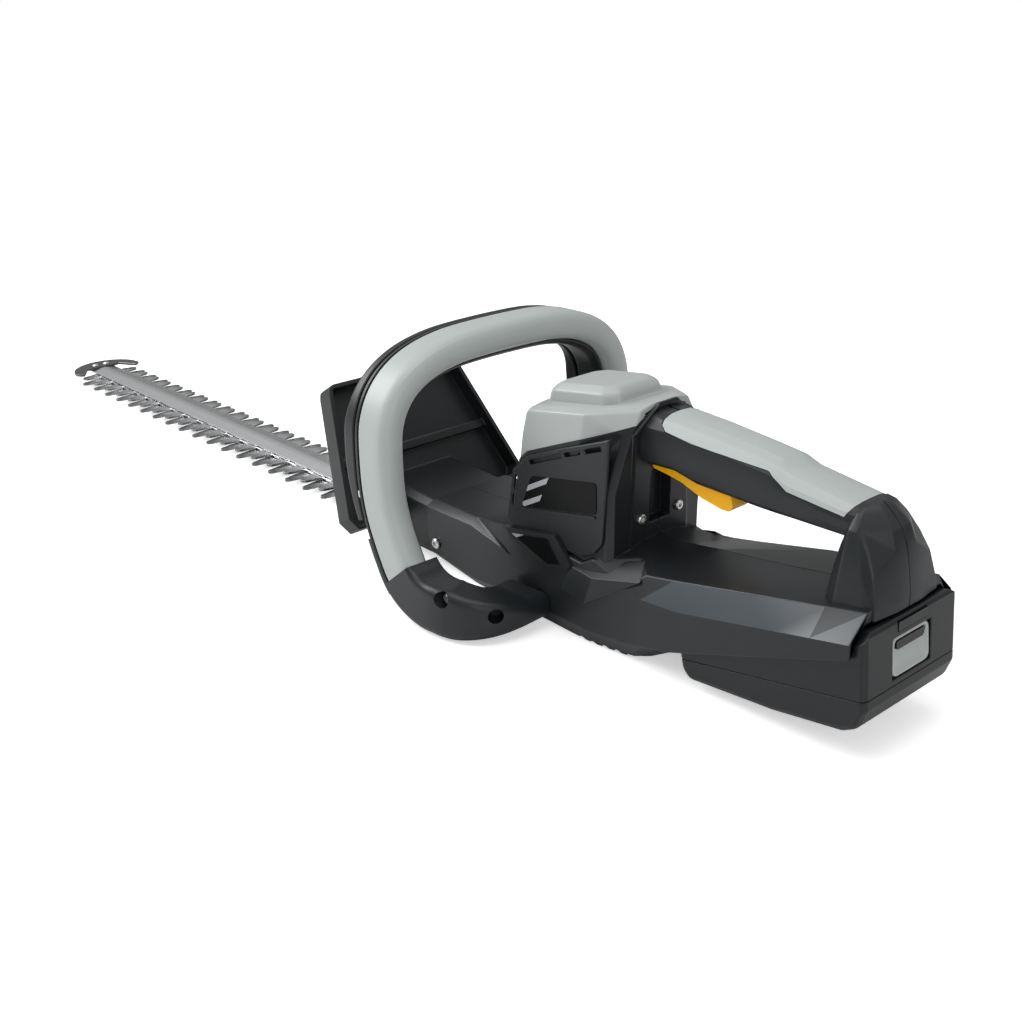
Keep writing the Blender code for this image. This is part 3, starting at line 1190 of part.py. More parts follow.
def collar_loft(half, low, top, first_x, last_x):
    """A round-cornered sleeve along X that grows a little toward the guard."""
    mm = MM
    rings = []
    for x, grow in ((first_x, 0), (last_x, 4 * mm)):
        side = [(half - 6 * mm, low), (half, low + 7 * mm), (half, top + grow - 4 * mm),
                (half - 5 * mm, top + grow)]
        rings.append([(x, y, z) for y, z in side + [(-y, z) for y, z in reversed(side)]])
    return loft(rings)


def hand_guard():
    """A leaning tray before the front handle, with a collar that meets the neck."""
    mm = MM
    wall = GUARD_WALL
    rear = NECK_FRONT_X + SEAT_GAP
    tray = cut(guard_block(guard_outline(), 0, GUARD_RIM),
               guard_block(guard_outline(wall), -mm, GUARD_RIM - wall))
    down, reach = GUARD_RIDGE_DOWN, GUARD_TOP_HALF + 10 * mm
    ridge = guard_block([(-reach, down), (reach, down), (reach + 2 * mm, down + 6 * mm),
                         (-reach - 2 * mm, down + 6 * mm)], GUARD_RIM - wall - 5 * mm,
                        GUARD_RIM - mm)
    far = 2 * GUARD_TOP_X
    beyond = guard_block([(-far, -far), (far, -far), (far, far), (-far, far)],
                         GUARD_RIM - 0.5 * mm, GUARD_RIM + far)
    collar = cut(collar_loft(COLLAR_HALF, FLOOR_Z, COLLAR_TOP_Z, rear, GUARD_TOP_X), beyond)
    inside = collar_loft(COLLAR_HALF - wall, FLOOR_Z + wall, COLLAR_TOP_Z - wall, rear - mm,
                         rear + 24 * mm)
    tongues = []
    for side in (1, -1):
        outer = NECK_HALF - HOUSING_WALL - 1.6 * mm
        near, far_side = sorted((side * (outer - TONGUE_WIDTH), side * outer))
        tongues.append(box((NECK_FRONT_X - TONGUE_LENGTH, near, 2.2 * mm),
                           (rear + 2 * mm, far_side, 16 * mm)))
    guard = cut(join(tray, ridge, collar), inside)
    guard = join(guard, *tongues)
    mouth = box((rear - mm, -BLADE_MOUTH_HALF, PLATE_TOP - mm),
                (GUARD_TOP_X, BLADE_MOUTH_HALF, GUIDE_TOP + 2 * mm))
    hole = across(GUARD_SCREW_X, GUARD_SCREW_Z, SCREW_RADIUS + SEAT_GAP, -60 * mm, 60 * mm)
    return cut(guard, mouth, hole)


# ---------------------------------------------------------------- front handle

def bail_path():
    """Centre points of the handle's left half, from its top down to the housing."""
    x, half, corner = BAIL_X, BAIL_HALF, BAIL_CORNER_Z
    points = []
    power = 2 / BAIL_SQUARENESS
    for i in range(CORNER_STEP_COUNT + 1):
        angle = math.radians(90 * (1 - i / CORNER_STEP_COUNT))
        points.append(Vector((x, half * max(math.cos(angle), 0.0) ** power,
                              corner + (BAIL_TOP_Z - corner) * max(math.sin(angle), 0.0) ** power)))
    points[0].y = 0
    lift = corner - ARM_Z
    reach = x - ARM_X
    # stations down the side, round the elbow and in to the housing: shares of
    # the arm's reach to the rear, of the drop to it, and of the half width
    for back, drop, inward in ((0.01, 0.21, 0), (0.05, 0.385, 0), (0.115, 0.54, 0),
                               (0.185, 0.675, 0), (0.265, 0.80, 0), (0.385, 0.905, 0),
                               (0.54, 0.97, 0), (0.70, 0.995, 0.005), (0.835, 1, 0.03),
                               (0.94, 1, 0.09), (1.005, 1, 0.18), (1.025, 1, 0.29),
                               (1.015, 1, 0.43), (1, 1, 0.56)):
        points.append(Vector((x - reach * back, half * (1 - inward), corner - lift * drop)))
    return points


def bail_frames():
    """The whole path, with a rearward and an outward direction carried along it."""
    left = bail_path()
    frames = []
    rearward = Vector((-1, 0, 0))
    for i, point in enumerate(left):
        ahead = left[min(i + 1, len(left) - 1)]
        behind = left[i - 1] if i else Vector((ahead.x, -ahead.y, ahead.z))
        tangent = (ahead - behind).normalized()
        rearward = (rearward - tangent * rearward.dot(tangent)).normalized()
        frames.append((point, rearward.copy(), tangent.cross(rearward)))
    right = []
    for vectors in reversed(frames[1:]):
        right.append(tuple(Vector((v.x, -v.y, v.z)) for v in vectors))
    return right + frames


def bar_section(u_low, u_high, half, corner):
    """A bar's cut, with cut corners: rearward and outward sizes."""
    return [(u_low, half - corner), (u_low + corner, half), (u_high - corner, half),
            (u_high, half - corner), (u_high, corner - half), (u_high - corner, -half),
            (u_low + corner, -half), (u_low, corner - half)]


def bail_loft(first, last, section):
    """Loft a section along the handle, from one station to another of one side or both."""
    frames = bail_frames()
    middle = len(frames) // 2
    rings = []
    for i in range(middle + first, middle + last + 1):
        point, rearward, outward = frames[i]
        rings.append([point + rearward * u + outward * v for u, v in section(abs(i - middle))])
    return loft(rings)


def spine_section(step):
    """The backbone's cut: a thin plate before the grip and a strip inside the handle."""
    front, half, mm = -BAIL_GRIP_DEPTH, BAIL_HALF_WIDTH - 0.5 * MM, MM
    strip = BAIL_STRIP_WIDTH - half
    return [(front - BAIL_SPINE_THICKNESS, half), (front, half), (front, strip),
            (mm, strip), (mm, 2 * mm - half), (-mm, -half),
            (front - BAIL_SPINE_THICKNESS, -half)]


def arm_section(step):
    """The arm's cut, tall at the elbow and long where it meets the housing."""
    last = len(bail_path()) - 1
    mm = MM
    swell = min((step - GRIP_STATION_COUNT) / 3, 1.0)
    share = min(1.4 * max(step - last + 5, 0) / 5, 1.0)
    start = BAIL_GRIP_DEPTH + BULGE_DEPTH
    low = -start + (start - ARM_HALF_HEIGHT + mm) * swell
    high = BAIL_GRIP_DEPTH + (ARM_HALF_HEIGHT - BAIL_GRIP_DEPTH + mm) * swell
    low += (ARM_HALF_HEIGHT - mm - 0.62 * ARM_END_HEIGHT) * share
    high -= (ARM_HALF_HEIGHT + mm - 0.38 * ARM_END_HEIGHT) * share
    half = BAIL_HALF_WIDTH + (ARM_END_HALF - BAIL_HALF_WIDTH) * share
    return bar_section(low, high, half, (1.8 + 2.2 * swell ** 2) * mm)


def front_handle_frame():
    """The handle's backbone: a spine and strip at the grip, full arms down to the housing."""
    mm = MM
    front = -BAIL_GRIP_DEPTH
    spine = bail_loft(-GRIP_STATION_COUNT - 1, GRIP_STATION_COUNT + 1, spine_section)
    end = len(bail_path()) - 1
    lever_front = BAIL_SPINE_THICKNESS + LEVER_TRAVEL + BAIL_LEVER_DEPTH

    def bulge(step):
        depth = lever_front - mm if step < GRIP_STATION_COUNT else BULGE_DEPTH
        return bar_section(front - depth, front - mm, BAIL_HALF_WIDTH - 0.3 * mm, 2 * mm)

    frames = bail_frames()
    middle = len(frames) // 2
    lower_parts = []
    for side in (1, -1):
        rings = []
        for step in range(LEVER_STATION_COUNT + 1, end + 1):
            point, rearward, outward = frames[middle + side * step]
            sections = []
            if step <= GRIP_STATION_COUNT:
                sections.append(bulge(step))
            if step >= GRIP_STATION_COUNT:
                sections.append(arm_section(step))
            for section in sections:
                rings.append([point + rearward * u + outward * v for u, v in section])
        lower_parts.append(loft(rings))
    frame = join(spine, *lower_parts)
    tools = [hull_loft(40 * mm, -90 * mm, -2.5 * SEAT_GAP)]
    for side in (1, -1):
        pin = lever_pin_place(side)
        tools.append(across(pin.x, pin.z, LEVER_PIN_RADIUS + SEAT_GAP,
                            pin.y - BAIL_HALF_WIDTH - mm, pin.y + BAIL_HALF_WIDTH + mm))
        outer = side * (BAIL_HALF + BAIL_HALF_WIDTH + 10 * mm)
        seat = side * HANDLE_SCREW_SEAT
        tools.append(across(HANDLE_SCREW_X, HANDLE_SCREW_Z, SCREW_HEAD_RADIUS + 1.5 * mm,
                            seat, outer))
        tools.append(across(HANDLE_SCREW_X, HANDLE_SCREW_Z, SCREW_RADIUS + SEAT_GAP,
                            seat - side * 14 * mm, outer))
        tools.append(across(ARM_X, ARM_Z, SCREW_RADIUS + SEAT_GAP, side * (HULL_HALF - 5 * mm),
                            side * (HULL_HALF + 16 * mm)))
    return cut(frame, *tools)


def lever_pin_place(side):
    """Centre of a lever pin, half way between the spine and the lever."""
    frames = bail_frames()
    point, rearward, _ = frames[len(frames) // 2 + side * PIN_STATION_COUNT]
    depth = BAIL_GRIP_DEPTH + BAIL_SPINE_THICKNESS + LEVER_TRAVEL / 2
    return point - rearward * depth


def lever_pin(side):
    place = lever_pin_place(side)
    half = BAIL_HALF_WIDTH - 1.5 * MM
    return across(place.x, place.z, LEVER_PIN_RADIUS, place.y - half, place.y + half)


def front_handle_grip():
    """The grip shell that closes the rear of the handle, cut off square at both ends."""
    gap = SEAT_GAP
    front = -BAIL_GRIP_DEPTH + gap

    def section(step):
        high, half = BAIL_GRIP_DEPTH, BAIL_HALF_WIDTH
        strip = BAIL_STRIP_WIDTH - BAIL_HALF_WIDTH + 0.5 * MM + gap
        return [(front, half - 2 * MM), (front + 2 * MM, half), (high - 6 * MM, half),
                (high, half - 5 * MM), (high, 5 * MM - half), (high - 5 * MM, -half),
                (MM + gap, -half), (MM + gap, strip), (front, strip)]

    grip = bail_loft(-GRIP_STATION_COUNT, GRIP_STATION_COUNT, section)
    frames = bail_frames()
    tools = []
    for side in (1, -1):
        point, rearward, outward = frames[len(frames) // 2 + side * GRIP_STATION_COUNT]
        tangent = rearward.cross(outward) * side
        size = 60 * MM
        block = box((-size, -size, -gap), (size, size, size))
        turn = Matrix((rearward, outward, tangent)).transposed().to_4x4()
        if turn.to_3x3().determinant() < 0:
            turn = Matrix((outward, rearward, tangent)).transposed().to_4x4()
        block.data.transform(Matrix.Translation(point) @ turn)
        tools.append(block)
    return cut(grip, *tools)


def front_switch_lever():
    """The long bar in front of the grip that has to be held in to run the tool."""
    mm = MM
    back = -BAIL_GRIP_DEPTH - BAIL_SPINE_THICKNESS - LEVER_TRAVEL - SEAT_GAP

    def section(step):
        swell = min(step / (CORNER_STEP_COUNT - 1), 1.0)
        past = max(step - CORNER_STEP_COUNT, 0)
        depth = BAIL_LEVER_DEPTH + BAIL_LEVER_BULGE * swell ** 2 - 2 * mm * past
        return bar_section(back - depth, back, BAIL_HALF_WIDTH - mm, 2 * mm)

    lever = bail_loft(-LEVER_STATION_COUNT, LEVER_STATION_COUNT, section)
    tools = []
    for side in (1, -1):
        pin = lever_pin_place(side)
        tools.append(across(pin.x, pin.z, LEVER_PIN_RADIUS + SEAT_GAP,
                            pin.y - BAIL_HALF_WIDTH - mm, pin.y + BAIL_HALF_WIDTH + mm))
    return cut(lever, *tools)


# ---------------------------------------------------------------- battery

def battery_profile():
    """Side view of the battery: a flat slanted bottom, a blunt front and a tall rear."""
    mm = MM
    front, rear = BATTERY_FRONT_X, BATTERY_REAR_X
    floor = FLOOR_Z + 5 * mm
    top_front = (front - 4 * mm, floor + 28.75 * mm)
    run = (top_front[0] - (rear + 3.5 * mm)) / math.cos(BATTERY_SLOPE)
    top_rear = slide_point(top_front[0], top_front[1], run)
    return [(front, floor + 14.5 * mm), (front - 2 * mm, floor + 5 * mm), (front - 7 * mm, floor),
            (front - 63 * mm, floor + 5 * mm), (rear + 12 * mm, floor + 11.5 * mm),
            (rear + 4 * mm, floor + 16 * mm), (rear, floor + 27 * mm),
            (rear + 2.7 * mm, top_rear[1] - 3 * mm), top_rear, top_front,
            (front, floor + 20 * mm)]


def battery_bottom(x):
    """Level of the battery's flat bottom at a station."""
    profile = battery_profile()
    for near, far in zip(profile[2:5], profile[3:6]):
        if near[0] >= x >= far[0]:
            return near[1] + (far[1] - near[1]) * (near[0] - x) / (near[0] - far[0])
    return profile[2][1]


def top_edge_cuts(half):
    """Slanting cuts along the battery's two upper edges, for the housing's sloped shoulders."""
    mm = MM
    x, z = battery_profile()[-2]
    first = slide_point(x, z, -20 * mm)
    last = slide_point(x, z, 140 * mm)
    cuts = []
    for side in (1, -1):
        rings = []
        for x_end, top in (first, last):
            rings.append([(x_end, side * (half + 2 * mm), top - BATTERY_TOP_EDGE + mm),
                          (x_end, side * (half - BATTERY_TOP_EDGE - 6 * mm), top + 5 * mm),
                          (x_end, side * (half + 12 * mm), top + 5 * mm),
                          (x_end, side * (half + 12 * mm), top - BATTERY_TOP_EDGE)])
        cuts.append(loft(rings))
    return cuts


def terminal_band(grow):
    """The terminal block, or the recess for it, seen from the side."""
    x, z = terminal_place()
    return slide_band(x, z, -16 * MM if grow else -5 * MM, 9 * MM + 2 * grow, 2.5 * MM + grow)


def battery_cases():
    """The battery's case, hollow for its cells, parted by a slanted seam."""
    mm = MM
    wall = SHELL_WALL
    half = BATTERY_HALF
    body = bevelled(prism([battery_profile()], -half, half), BATTERY_EDGE, segments=2, angle=25)
    body = cut(body, *top_edge_cuts(half))
    groove_floor = GROOVE_HALF
    cavity_half = BATTERY_CAVITY_HALF
    cavity = prism([offset_outline(battery_profile(), wall)], -cavity_half, cavity_half)
    cavity = cut(cavity, *top_edge_cuts(half - wall))
    rear_block = box((BATTERY_REAR_X - mm, -half, FLOOR_Z), (last_cell_rear(), half, 2 * half))
    nose = prism([terminal_band(RUNNING_GAP + wall)], -TERMINAL_HALF - 2 * wall,
                 TERMINAL_HALF + 2 * wall)
    cavity = cut(cavity, rear_block, nose)
    recess_half = TERMINAL_HALF + RUNNING_GAP
    recess = prism([terminal_band(RUNNING_GAP)], -recess_half, recess_half)
    latch_room = latch_box(RUNNING_GAP, LATCH_TRAVEL + RUNNING_GAP, BATTERY_REAR_X - 5 * mm)
    x, z = rail_start()
    grooves = []
    for side in (1, -1):
        near, far = sorted((side * groove_floor, side * (half + mm)))
        grooves.append(prism([slide_band(x, z, -20 * mm, RAIL_LENGTH + 2 * mm,
                                         RAIL_HALF + RUNNING_GAP)], near, far))
    body = cut(body, cavity, recess, latch_room, indicator_box(SEAT_GAP), *grooves)
    rise = math.tan(BATTERY_SPLIT)
    seam = [(BATTERY_FRONT_X + 10 * mm, BATTERY_SPLIT_Z - 10 * mm * rise),
            (BATTERY_REAR_X - 10 * mm,
             BATTERY_SPLIT_Z + (BATTERY_FRONT_X - BATTERY_REAR_X + 10 * mm) * rise)]
    gap = SEAT_GAP / 2
    above = [(x, z + gap) for x, z in seam] + [(seam[1][0], 3 * half), (seam[0][0], 3 * half)]
    below = [(x, z - gap) for x, z in seam] + [(seam[1][0], -half), (seam[0][0], -half)]
    upper = common(copy_of(body), prism([above], -2 * half, 2 * half))
    lower = common(body, prism([below], -2 * half, 2 * half))
    return upper, lower


def last_cell_rear():
    return FIRST_CELL_X - (CELL_COUNT - 1) * CELL_PITCH - CELL_RADIUS - SEAT_GAP


def battery_cell(index):
    """A cell across the battery, resting on the case's bottom."""
    x = FIRST_CELL_X - index * CELL_PITCH
    level = battery_bottom(x - 0.3 * CELL_RADIUS) + SHELL_WALL + SEAT_GAP + 1.02 * CELL_RADIUS
    half = CELL_LENGTH / 2
    cell = across(x, level, CELL_RADIUS, -half, half, segments=20)
    button = across(x, level, 0.3 * CELL_RADIUS, half - MM, half + MM, segments=12)
    return join(cell, button)


def rear_face_x(z):
    """Station of the battery's rear face at a level."""
    profile = battery_profile()
    low, high = profile[6], profile[7]
    return low[0] + (high[0] - low[0]) * (z - low[1]) / (high[1] - low[1])


def latch_box(gap, back, rear_x):
    """The latch's room in the battery's rear, or the latch itself."""
    mm = MM
    low, high = LATCH_LOW_Z - gap, LATCH_LOW_Z + LATCH_HEIGHT + gap
    inner_x = BATTERY_REAR_X + 8 * mm + back
    return box((rear_x, -LATCH_HALF - gap, low), (inner_x, LATCH_HALF + gap, high))


def battery_latch():
    """The release button in the battery's rear, with a scoop for the finger."""
    mm = MM
    body = latch_box(0, 0, BATTERY_REAR_X - 5 * mm)
    low, high = LATCH_LOW_Z, LATCH_LOW_Z + LATCH_HEIGHT
    beyond = prism([[(rear_face_x(low), low - mm), (rear_face_x(high), high + mm),
                     (BATTERY_REAR_X - 9 * mm, high + mm), (BATTERY_REAR_X - 9 * mm, low - mm)]],
                   -2 * LATCH_HALF, 2 * LATCH_HALF)
    scoop = cylinder((BATTERY_REAR_X - 5 * mm, -LATCH_HALF + 3.5 * mm, low + 0.42 * LATCH_HEIGHT),
                     7.5 * mm, 2 * LATCH_HALF - 7 * mm, axis=(0, 1, 0), segments=24)
    return cut(bevelled(cut(body, beyond), 0.8 * mm, segments=1), scoop)


def indicator_box(gap):
    """The charge indicator's window above the bottom edge of the battery's rear."""
    mm = MM
    low, high = LATCH_LOW_Z + LATCH_HEIGHT + 3 * mm, LATCH_LOW_Z + LATCH_HEIGHT + 8 * mm
    x = rear_face_x(low)
    return box((x - 5 * mm if gap else x - 0.2 * mm, -12 * mm - gap, low - gap),
               (x + 4 * mm + gap, 12 * mm + gap, high + gap))


def charge_indicator():
    return indicator_box(0)


def terminal_block():
    """The fixed contact block on the bulkhead, that the battery slides over."""
    mm = MM
    body = prism([terminal_band(0)], -TERMINAL_HALF, TERMINAL_HALF)
    x = BULKHEAD_X - BULKHEAD_THICKNESS - SEAT_GAP
    foot = box((x - 2.5 * mm, -TERMINAL_HALF - 3 * mm, 20 * mm), (x, TERMINAL_HALF + 3 * mm, 36 * mm))
    keep = box((REAR_X, -2 * TERMINAL_HALF, 0), (x, 2 * TERMINAL_HALF, 60 * mm))
    return common(join(body, foot), keep)


# ---------------------------------------------------------------- assembly

def main():
    global PARTS
    clear_scene()
    PARTS = new_collection("hedge_trimmer")
    steel = new_material("ground_steel", (0.62, 0.62, 0.63), 0.32, 1.0)
    dark_steel = new_material("dark_steel", (0.17, 0.17, 0.18), 0.45, 0.8)
    bright = new_material("bright_screw", (0.75, 0.75, 0.76), 0.25, 1.0)
    alloy = new_material("cast_alloy", (0.45, 0.46, 0.47), 0.5, 0.9)
    body = new_material("charcoal_plastic", (0.045, 0.050, 0.055), 0.5)
    black = new_material("black_plastic", (0.018, 0.018, 0.020), 0.55)
    soft = new_material("light_soft_grip", (0.43, 0.46, 0.46), 0.7)
    light = new_material("light_cap", (0.50, 0.52, 0.52), 0.45)
    accent = new_material("yellow_trigger", (0.95, 0.47, 0.03), 0.4)
    window = new_material("dark_window", (0.01, 0.01, 0.012), 0.15)
    board = new_material("board_green", (0.03, 0.20, 0.09), 0.5)
    cell = new_material("cell_sleeve", (0.05, 0.22, 0.36), 0.4)
    copper = new_material("motor_can", (0.30, 0.30, 0.31), 0.4, 0.9)

    root = bpy.data.objects.new("hedge_trimmer_root", None)
    PARTS.objects.link(root)
    battery_group = bpy.data.objects.new("battery_slide", None)
    battery_group.location = (BATTERY_FRONT_X, 0, LATCH_LOW_Z)
    battery_group.parent = root
    PARTS.objects.link(battery_group)

    def place(obj, name, material, origin=(0, 0, 0), group=root):
        piece = finish(obj, name, material, origin)
        piece.parent = group
        if group is battery_group:
            piece.location = Vector(origin) - battery_group.location
        return piece

    place(blade(UPPER_LOW, UPPER_TOP, UPPER_TOOTH_REACH, UPPER_TOOTH_TIP, REST_SHIFT),
          "upper_blade", steel)
    place(blade(LOWER_LOW, LOWER_TOP, LOWER_TOOTH_REACH, LOWER_TOOTH_TIP, -REST_SHIFT),
          "lower_blade", steel)
    place(guide_bar(), "guide_bar", steel)
    place(tip_guard(), "tip_guard", dark_steel)
    for side_name, (x, y) in zip(("left", "right"), tip_rivet_places()):
        place(tip_rivet(x, y), "tip_rivet_" + side_name, bright)
    tops = [GUIDE_TOP + 4 * MM] + [GUIDE_LOW + 0.5 * GUIDE_RIDGE] * (BOLT_COUNT - 1)
    for i, (x, top) in enumerate(zip(bolt_stations(), tops)):
        place(blade_bolt(x, top), f"blade_bolt_{i + 1}", bright)

    place(drive_gear(), "drive_gear", dark_steel)
    place(gear_shaft(), "gear_shaft", steel)
    place(bearing(BEARING_LOW), "bearing_lower", steel)
    place(bearing(SECOND_BEARING_LOW), "bearing_upper", steel)
    place(gear_case(), "gear_case", alloy)
    place(base_plate(), "base_plate", dark_steel)
    motor_axis = (MOTOR_X, 0, 0)
    place(motor_body(), "motor_body", copper, motor_axis)
    place(motor_shaft(), "motor_shaft", steel, motor_axis)
    place(motor_fan(), "motor_fan", black, motor_axis)

    for half, name in zip(housing_halves(), ("housing_left", "housing_right")):
        place(half, name, body)
    place(motor_cap(), "motor_cap", light)
    place(vent_panel(1), "vent_panel_left", body)
    place(vent_panel(-1), "vent_panel_right", body)
    place(grip_overmould(), "grip_overmould", soft)
    pivot = (TRIGGER_PIVOT_X, 0, TRIGGER_PIVOT_Z)
    place(trigger(), "trigger", accent, pivot)
    place(trigger_pin(), "trigger_pin", steel, pivot)
    place(main_switch(), "main_switch", black)
    place(control_board(), "control_board", board)
    place(terminal_block(), "terminal_block", black)
    for i, (x, z, half) in enumerate(SCREW_PLACES):
        place(side_screw(x, z, -SCREW_SEAT_Y - SEAT_GAP, 1, 2 * SCREW_SEAT_Y - MM),
              f"housing_screw_{i + 1}", bright)

    place(hand_guard(), "hand_guard", black)
    place(front_handle_frame(), "front_handle_frame", black)
    place(front_handle_grip(), "front_handle_grip", soft)
    lever_axis = lever_pin_place(1)
    lever_axis.y = 0
    place(front_switch_lever(), "front_switch_lever", black, lever_axis)
    for side, side_name in ((1, "left"), (-1, "right")):
        place(lever_pin(side), "lever_pin_" + side_name, steel, lever_pin_place(side))
        seat = side * (NECK_HALF - 1.7 * MM + SEAT_GAP)
        place(side_screw(GUARD_SCREW_X, GUARD_SCREW_Z, seat, -side, 10 * MM),
              "guard_screw_" + side_name, bright)
        seat = side * (HANDLE_SCREW_SEAT + SEAT_GAP)
        place(side_screw(HANDLE_SCREW_X, HANDLE_SCREW_Z, seat, -side, 12 * MM),
              "handle_screw_" + side_name, bright)
        seat = side * (HOUSING_INNER_HALF - 2 * SEAT_GAP)
        place(side_screw(ARM_X, ARM_Z, seat, side, 16 * MM), "arm_bolt_" + side_name, bright)

    upper_case, lower_case = battery_cases()
    place(upper_case, "battery_case_upper", body, group=battery_group)
    place(lower_case, "battery_case_lower", body, group=battery_group)
    for i in range(CELL_COUNT):
        place(battery_cell(i), f"battery_cell_{i + 1}", cell, group=battery_group)
    place(battery_latch(), "battery_latch", body, group=battery_group)
    place(charge_indicator(), "charge_indicator", window, group=battery_group)
    centre_over_zero(root)


def centre_over_zero(root):
    """Stand the tool on Z = 0 with the middle of its length over X = 0."""
    bpy.context.view_layer.update()
    solids = [obj for obj in PARTS.objects if obj.type == "MESH"]
    corners = [obj.matrix_world @ Vector(corner) for obj in solids for corner in obj.bound_box]
    stations = [corner.x for corner in corners]
    lowest = min(corner.z for corner in corners)
    root.location = (-(min(stations) + max(stations)) / 2, 0, -lowest)
    bpy.context.view_layer.update()


if __name__ == "__main__":
    main()
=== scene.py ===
"""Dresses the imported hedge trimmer: finishes for its moulded, steel and electrical parts,
finer shells, blades, handle, screws and markings, and a plain studio to look at it in."""

import json
import math

import bmesh
import bpy
import numpy as np
from mathutils import Matrix, Vector
from mathutils.bvhtree import BVHTree

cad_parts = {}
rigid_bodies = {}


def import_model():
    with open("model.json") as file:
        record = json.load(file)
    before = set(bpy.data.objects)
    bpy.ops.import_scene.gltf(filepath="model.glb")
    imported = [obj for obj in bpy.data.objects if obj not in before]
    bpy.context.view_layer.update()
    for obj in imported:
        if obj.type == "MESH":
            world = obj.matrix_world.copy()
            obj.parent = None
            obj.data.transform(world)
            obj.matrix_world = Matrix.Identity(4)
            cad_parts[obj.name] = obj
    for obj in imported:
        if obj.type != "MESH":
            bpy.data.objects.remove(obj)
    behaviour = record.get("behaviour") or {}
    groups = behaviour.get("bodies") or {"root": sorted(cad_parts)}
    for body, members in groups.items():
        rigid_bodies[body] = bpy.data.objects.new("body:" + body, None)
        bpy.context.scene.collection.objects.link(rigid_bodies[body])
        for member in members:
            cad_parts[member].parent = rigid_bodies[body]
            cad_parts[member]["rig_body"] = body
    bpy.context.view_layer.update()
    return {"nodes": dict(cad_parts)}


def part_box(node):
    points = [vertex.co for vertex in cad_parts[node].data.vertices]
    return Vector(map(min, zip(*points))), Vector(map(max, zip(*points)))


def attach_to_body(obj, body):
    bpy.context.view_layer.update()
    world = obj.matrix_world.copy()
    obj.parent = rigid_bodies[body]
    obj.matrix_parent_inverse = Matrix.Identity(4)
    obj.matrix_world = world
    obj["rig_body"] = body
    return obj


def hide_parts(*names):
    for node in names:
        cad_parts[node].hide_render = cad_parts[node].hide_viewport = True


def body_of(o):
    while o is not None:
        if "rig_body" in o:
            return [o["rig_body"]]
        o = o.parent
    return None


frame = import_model()
MM = 0.001
GEAR_LOW, GEAR_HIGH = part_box("drive_gear")
GEAR_REACH = 2.4 * MM                   # of the gear's lower eccentric, under the blades' parting
DRIVE = (GEAR_LOW + GEAR_HIGH) / 2      # the drive's centre, on the blades' parting plane
DRIVE.z = GEAR_LOW.z + GEAR_REACH


def at(x, y, z):
    """A place in millimetres from the drive's centre, in the frame's metres."""
    return DRIVE + Vector((x, y, z)) * MM


bl_info = {
    "name": "Hedge Trimmer Dresser",
    "version": (1, 0, 0),
    "blender": (4, 5, 0),
    "location": "View3D > Sidebar > Trimmer",
    "description": "Builds the detailed pieces and finishes of a cordless hedge trimmer",
    "category": "Object",
}


# ---------------------------------------------------------------- settings

def colour_setting(name, description, value):
    """A colour in the sidebar, given as the 0 to 255 shades that a painter would read off."""
    shades = [channel / 255 for channel in value]
    linear = [s / 12.92 if s <= 0.04045 else ((s + 0.055) / 1.055) ** 2.4 for s in shades]
    return bpy.props.FloatVectorProperty(
        name=name, description=description, subtype="COLOR", size=3,
        min=0.0, max=1.0, default=linear)


def size_setting(name, description, value):
    """A small length in the sidebar, in metres."""
    return bpy.props.FloatProperty(
        name=name, description=description, unit="LENGTH", precision=5,
        min=0.0, max=0.1, default=value)


def power_setting(name, description, value):
    """A lamp's power in the sidebar, in watts."""
    return bpy.props.FloatProperty(
        name=name, description=description, unit="POWER", min=0.0, max=500.0, default=value)


class TrimmerColours(bpy.types.PropertyGroup):
    """Colours of the trimmer's mouldings and metals."""
    body: colour_setting("Body", "Dark body mouldings", (23, 27, 30))
    guard: colour_setting("Guard", "Hand guard and front lever", (21, 24, 26))
    grip: colour_setting("Grip", "Soft grips of both handles", (164, 170, 168))
    cap: colour_setting("Cap", "Motor cap", (160, 165, 163))
    trigger: colour_setting("Trigger", "Rear trigger", (255, 184, 4))
    blade: colour_setting("Blade", "Ground steel of the blades", (188, 190, 191))
    bar: colour_setting("Bar", "Guide bar over the blades", (205, 207, 208))
    label: colour_setting("Label", "Blank label plates", (12, 13, 14))


class TrimmerSizes(bpy.types.PropertyGroup):
    """Sizes of the details that the finer pieces add."""
    rounding: bpy.props.FloatProperty(
        name="Edge Rounding", description="Rounding of the shells' edges, as a share of the usual",
        subtype="FACTOR", min=0.2, max=1.2, default=1.0)
    grain: size_setting("Grain", "Size of the moulded surface grain", 0.45 * MM)
    screw_head: size_setting("Screw Head", "Radius of the visible screw heads", 3.4 * MM)
    rib_pitch: size_setting("Rib Pitch", "Distance between the ribs under the body", 9.0 * MM)


class StageSettings(bpy.types.PropertyGroup):
    """The studio around the trimmer."""
    floor: colour_setting("Floor", "Floor under the trimmer", (244, 244, 244))
    key_power: power_setting("Key Power", "Power of the large lamp beside the blades", 16.0)
    top_power: power_setting("Top Power", "Power of the large overhead lamp", 7.0)
    fill_power: power_setting("Fill Power", "Power of the low lamp behind the grip", 4.0)
    world_light: bpy.props.FloatProperty(
        name="World Light", description="Strength of the even light all round",
        min=0.0, max=4.0, default=0.56)
    lens: bpy.props.FloatProperty(
        name="Lens", description="Focal length of the camera",
        unit="CAMERA", min=10.0, max=200.0, default=44.283)


# ---------------------------------------------------------------- shader groups

def feed(tree, socket, value):
    """Give an input a number, a colour, or a link from one or more other nodes' outputs."""
    outputs = value if isinstance(value, list) else [value]
    if isinstance(outputs[0], bpy.types.NodeSocket):
        for output in outputs:
            tree.links.new(output, socket)
    else:
        socket.default_value = (*value, 1.0) if socket.type == "RGBA" else value


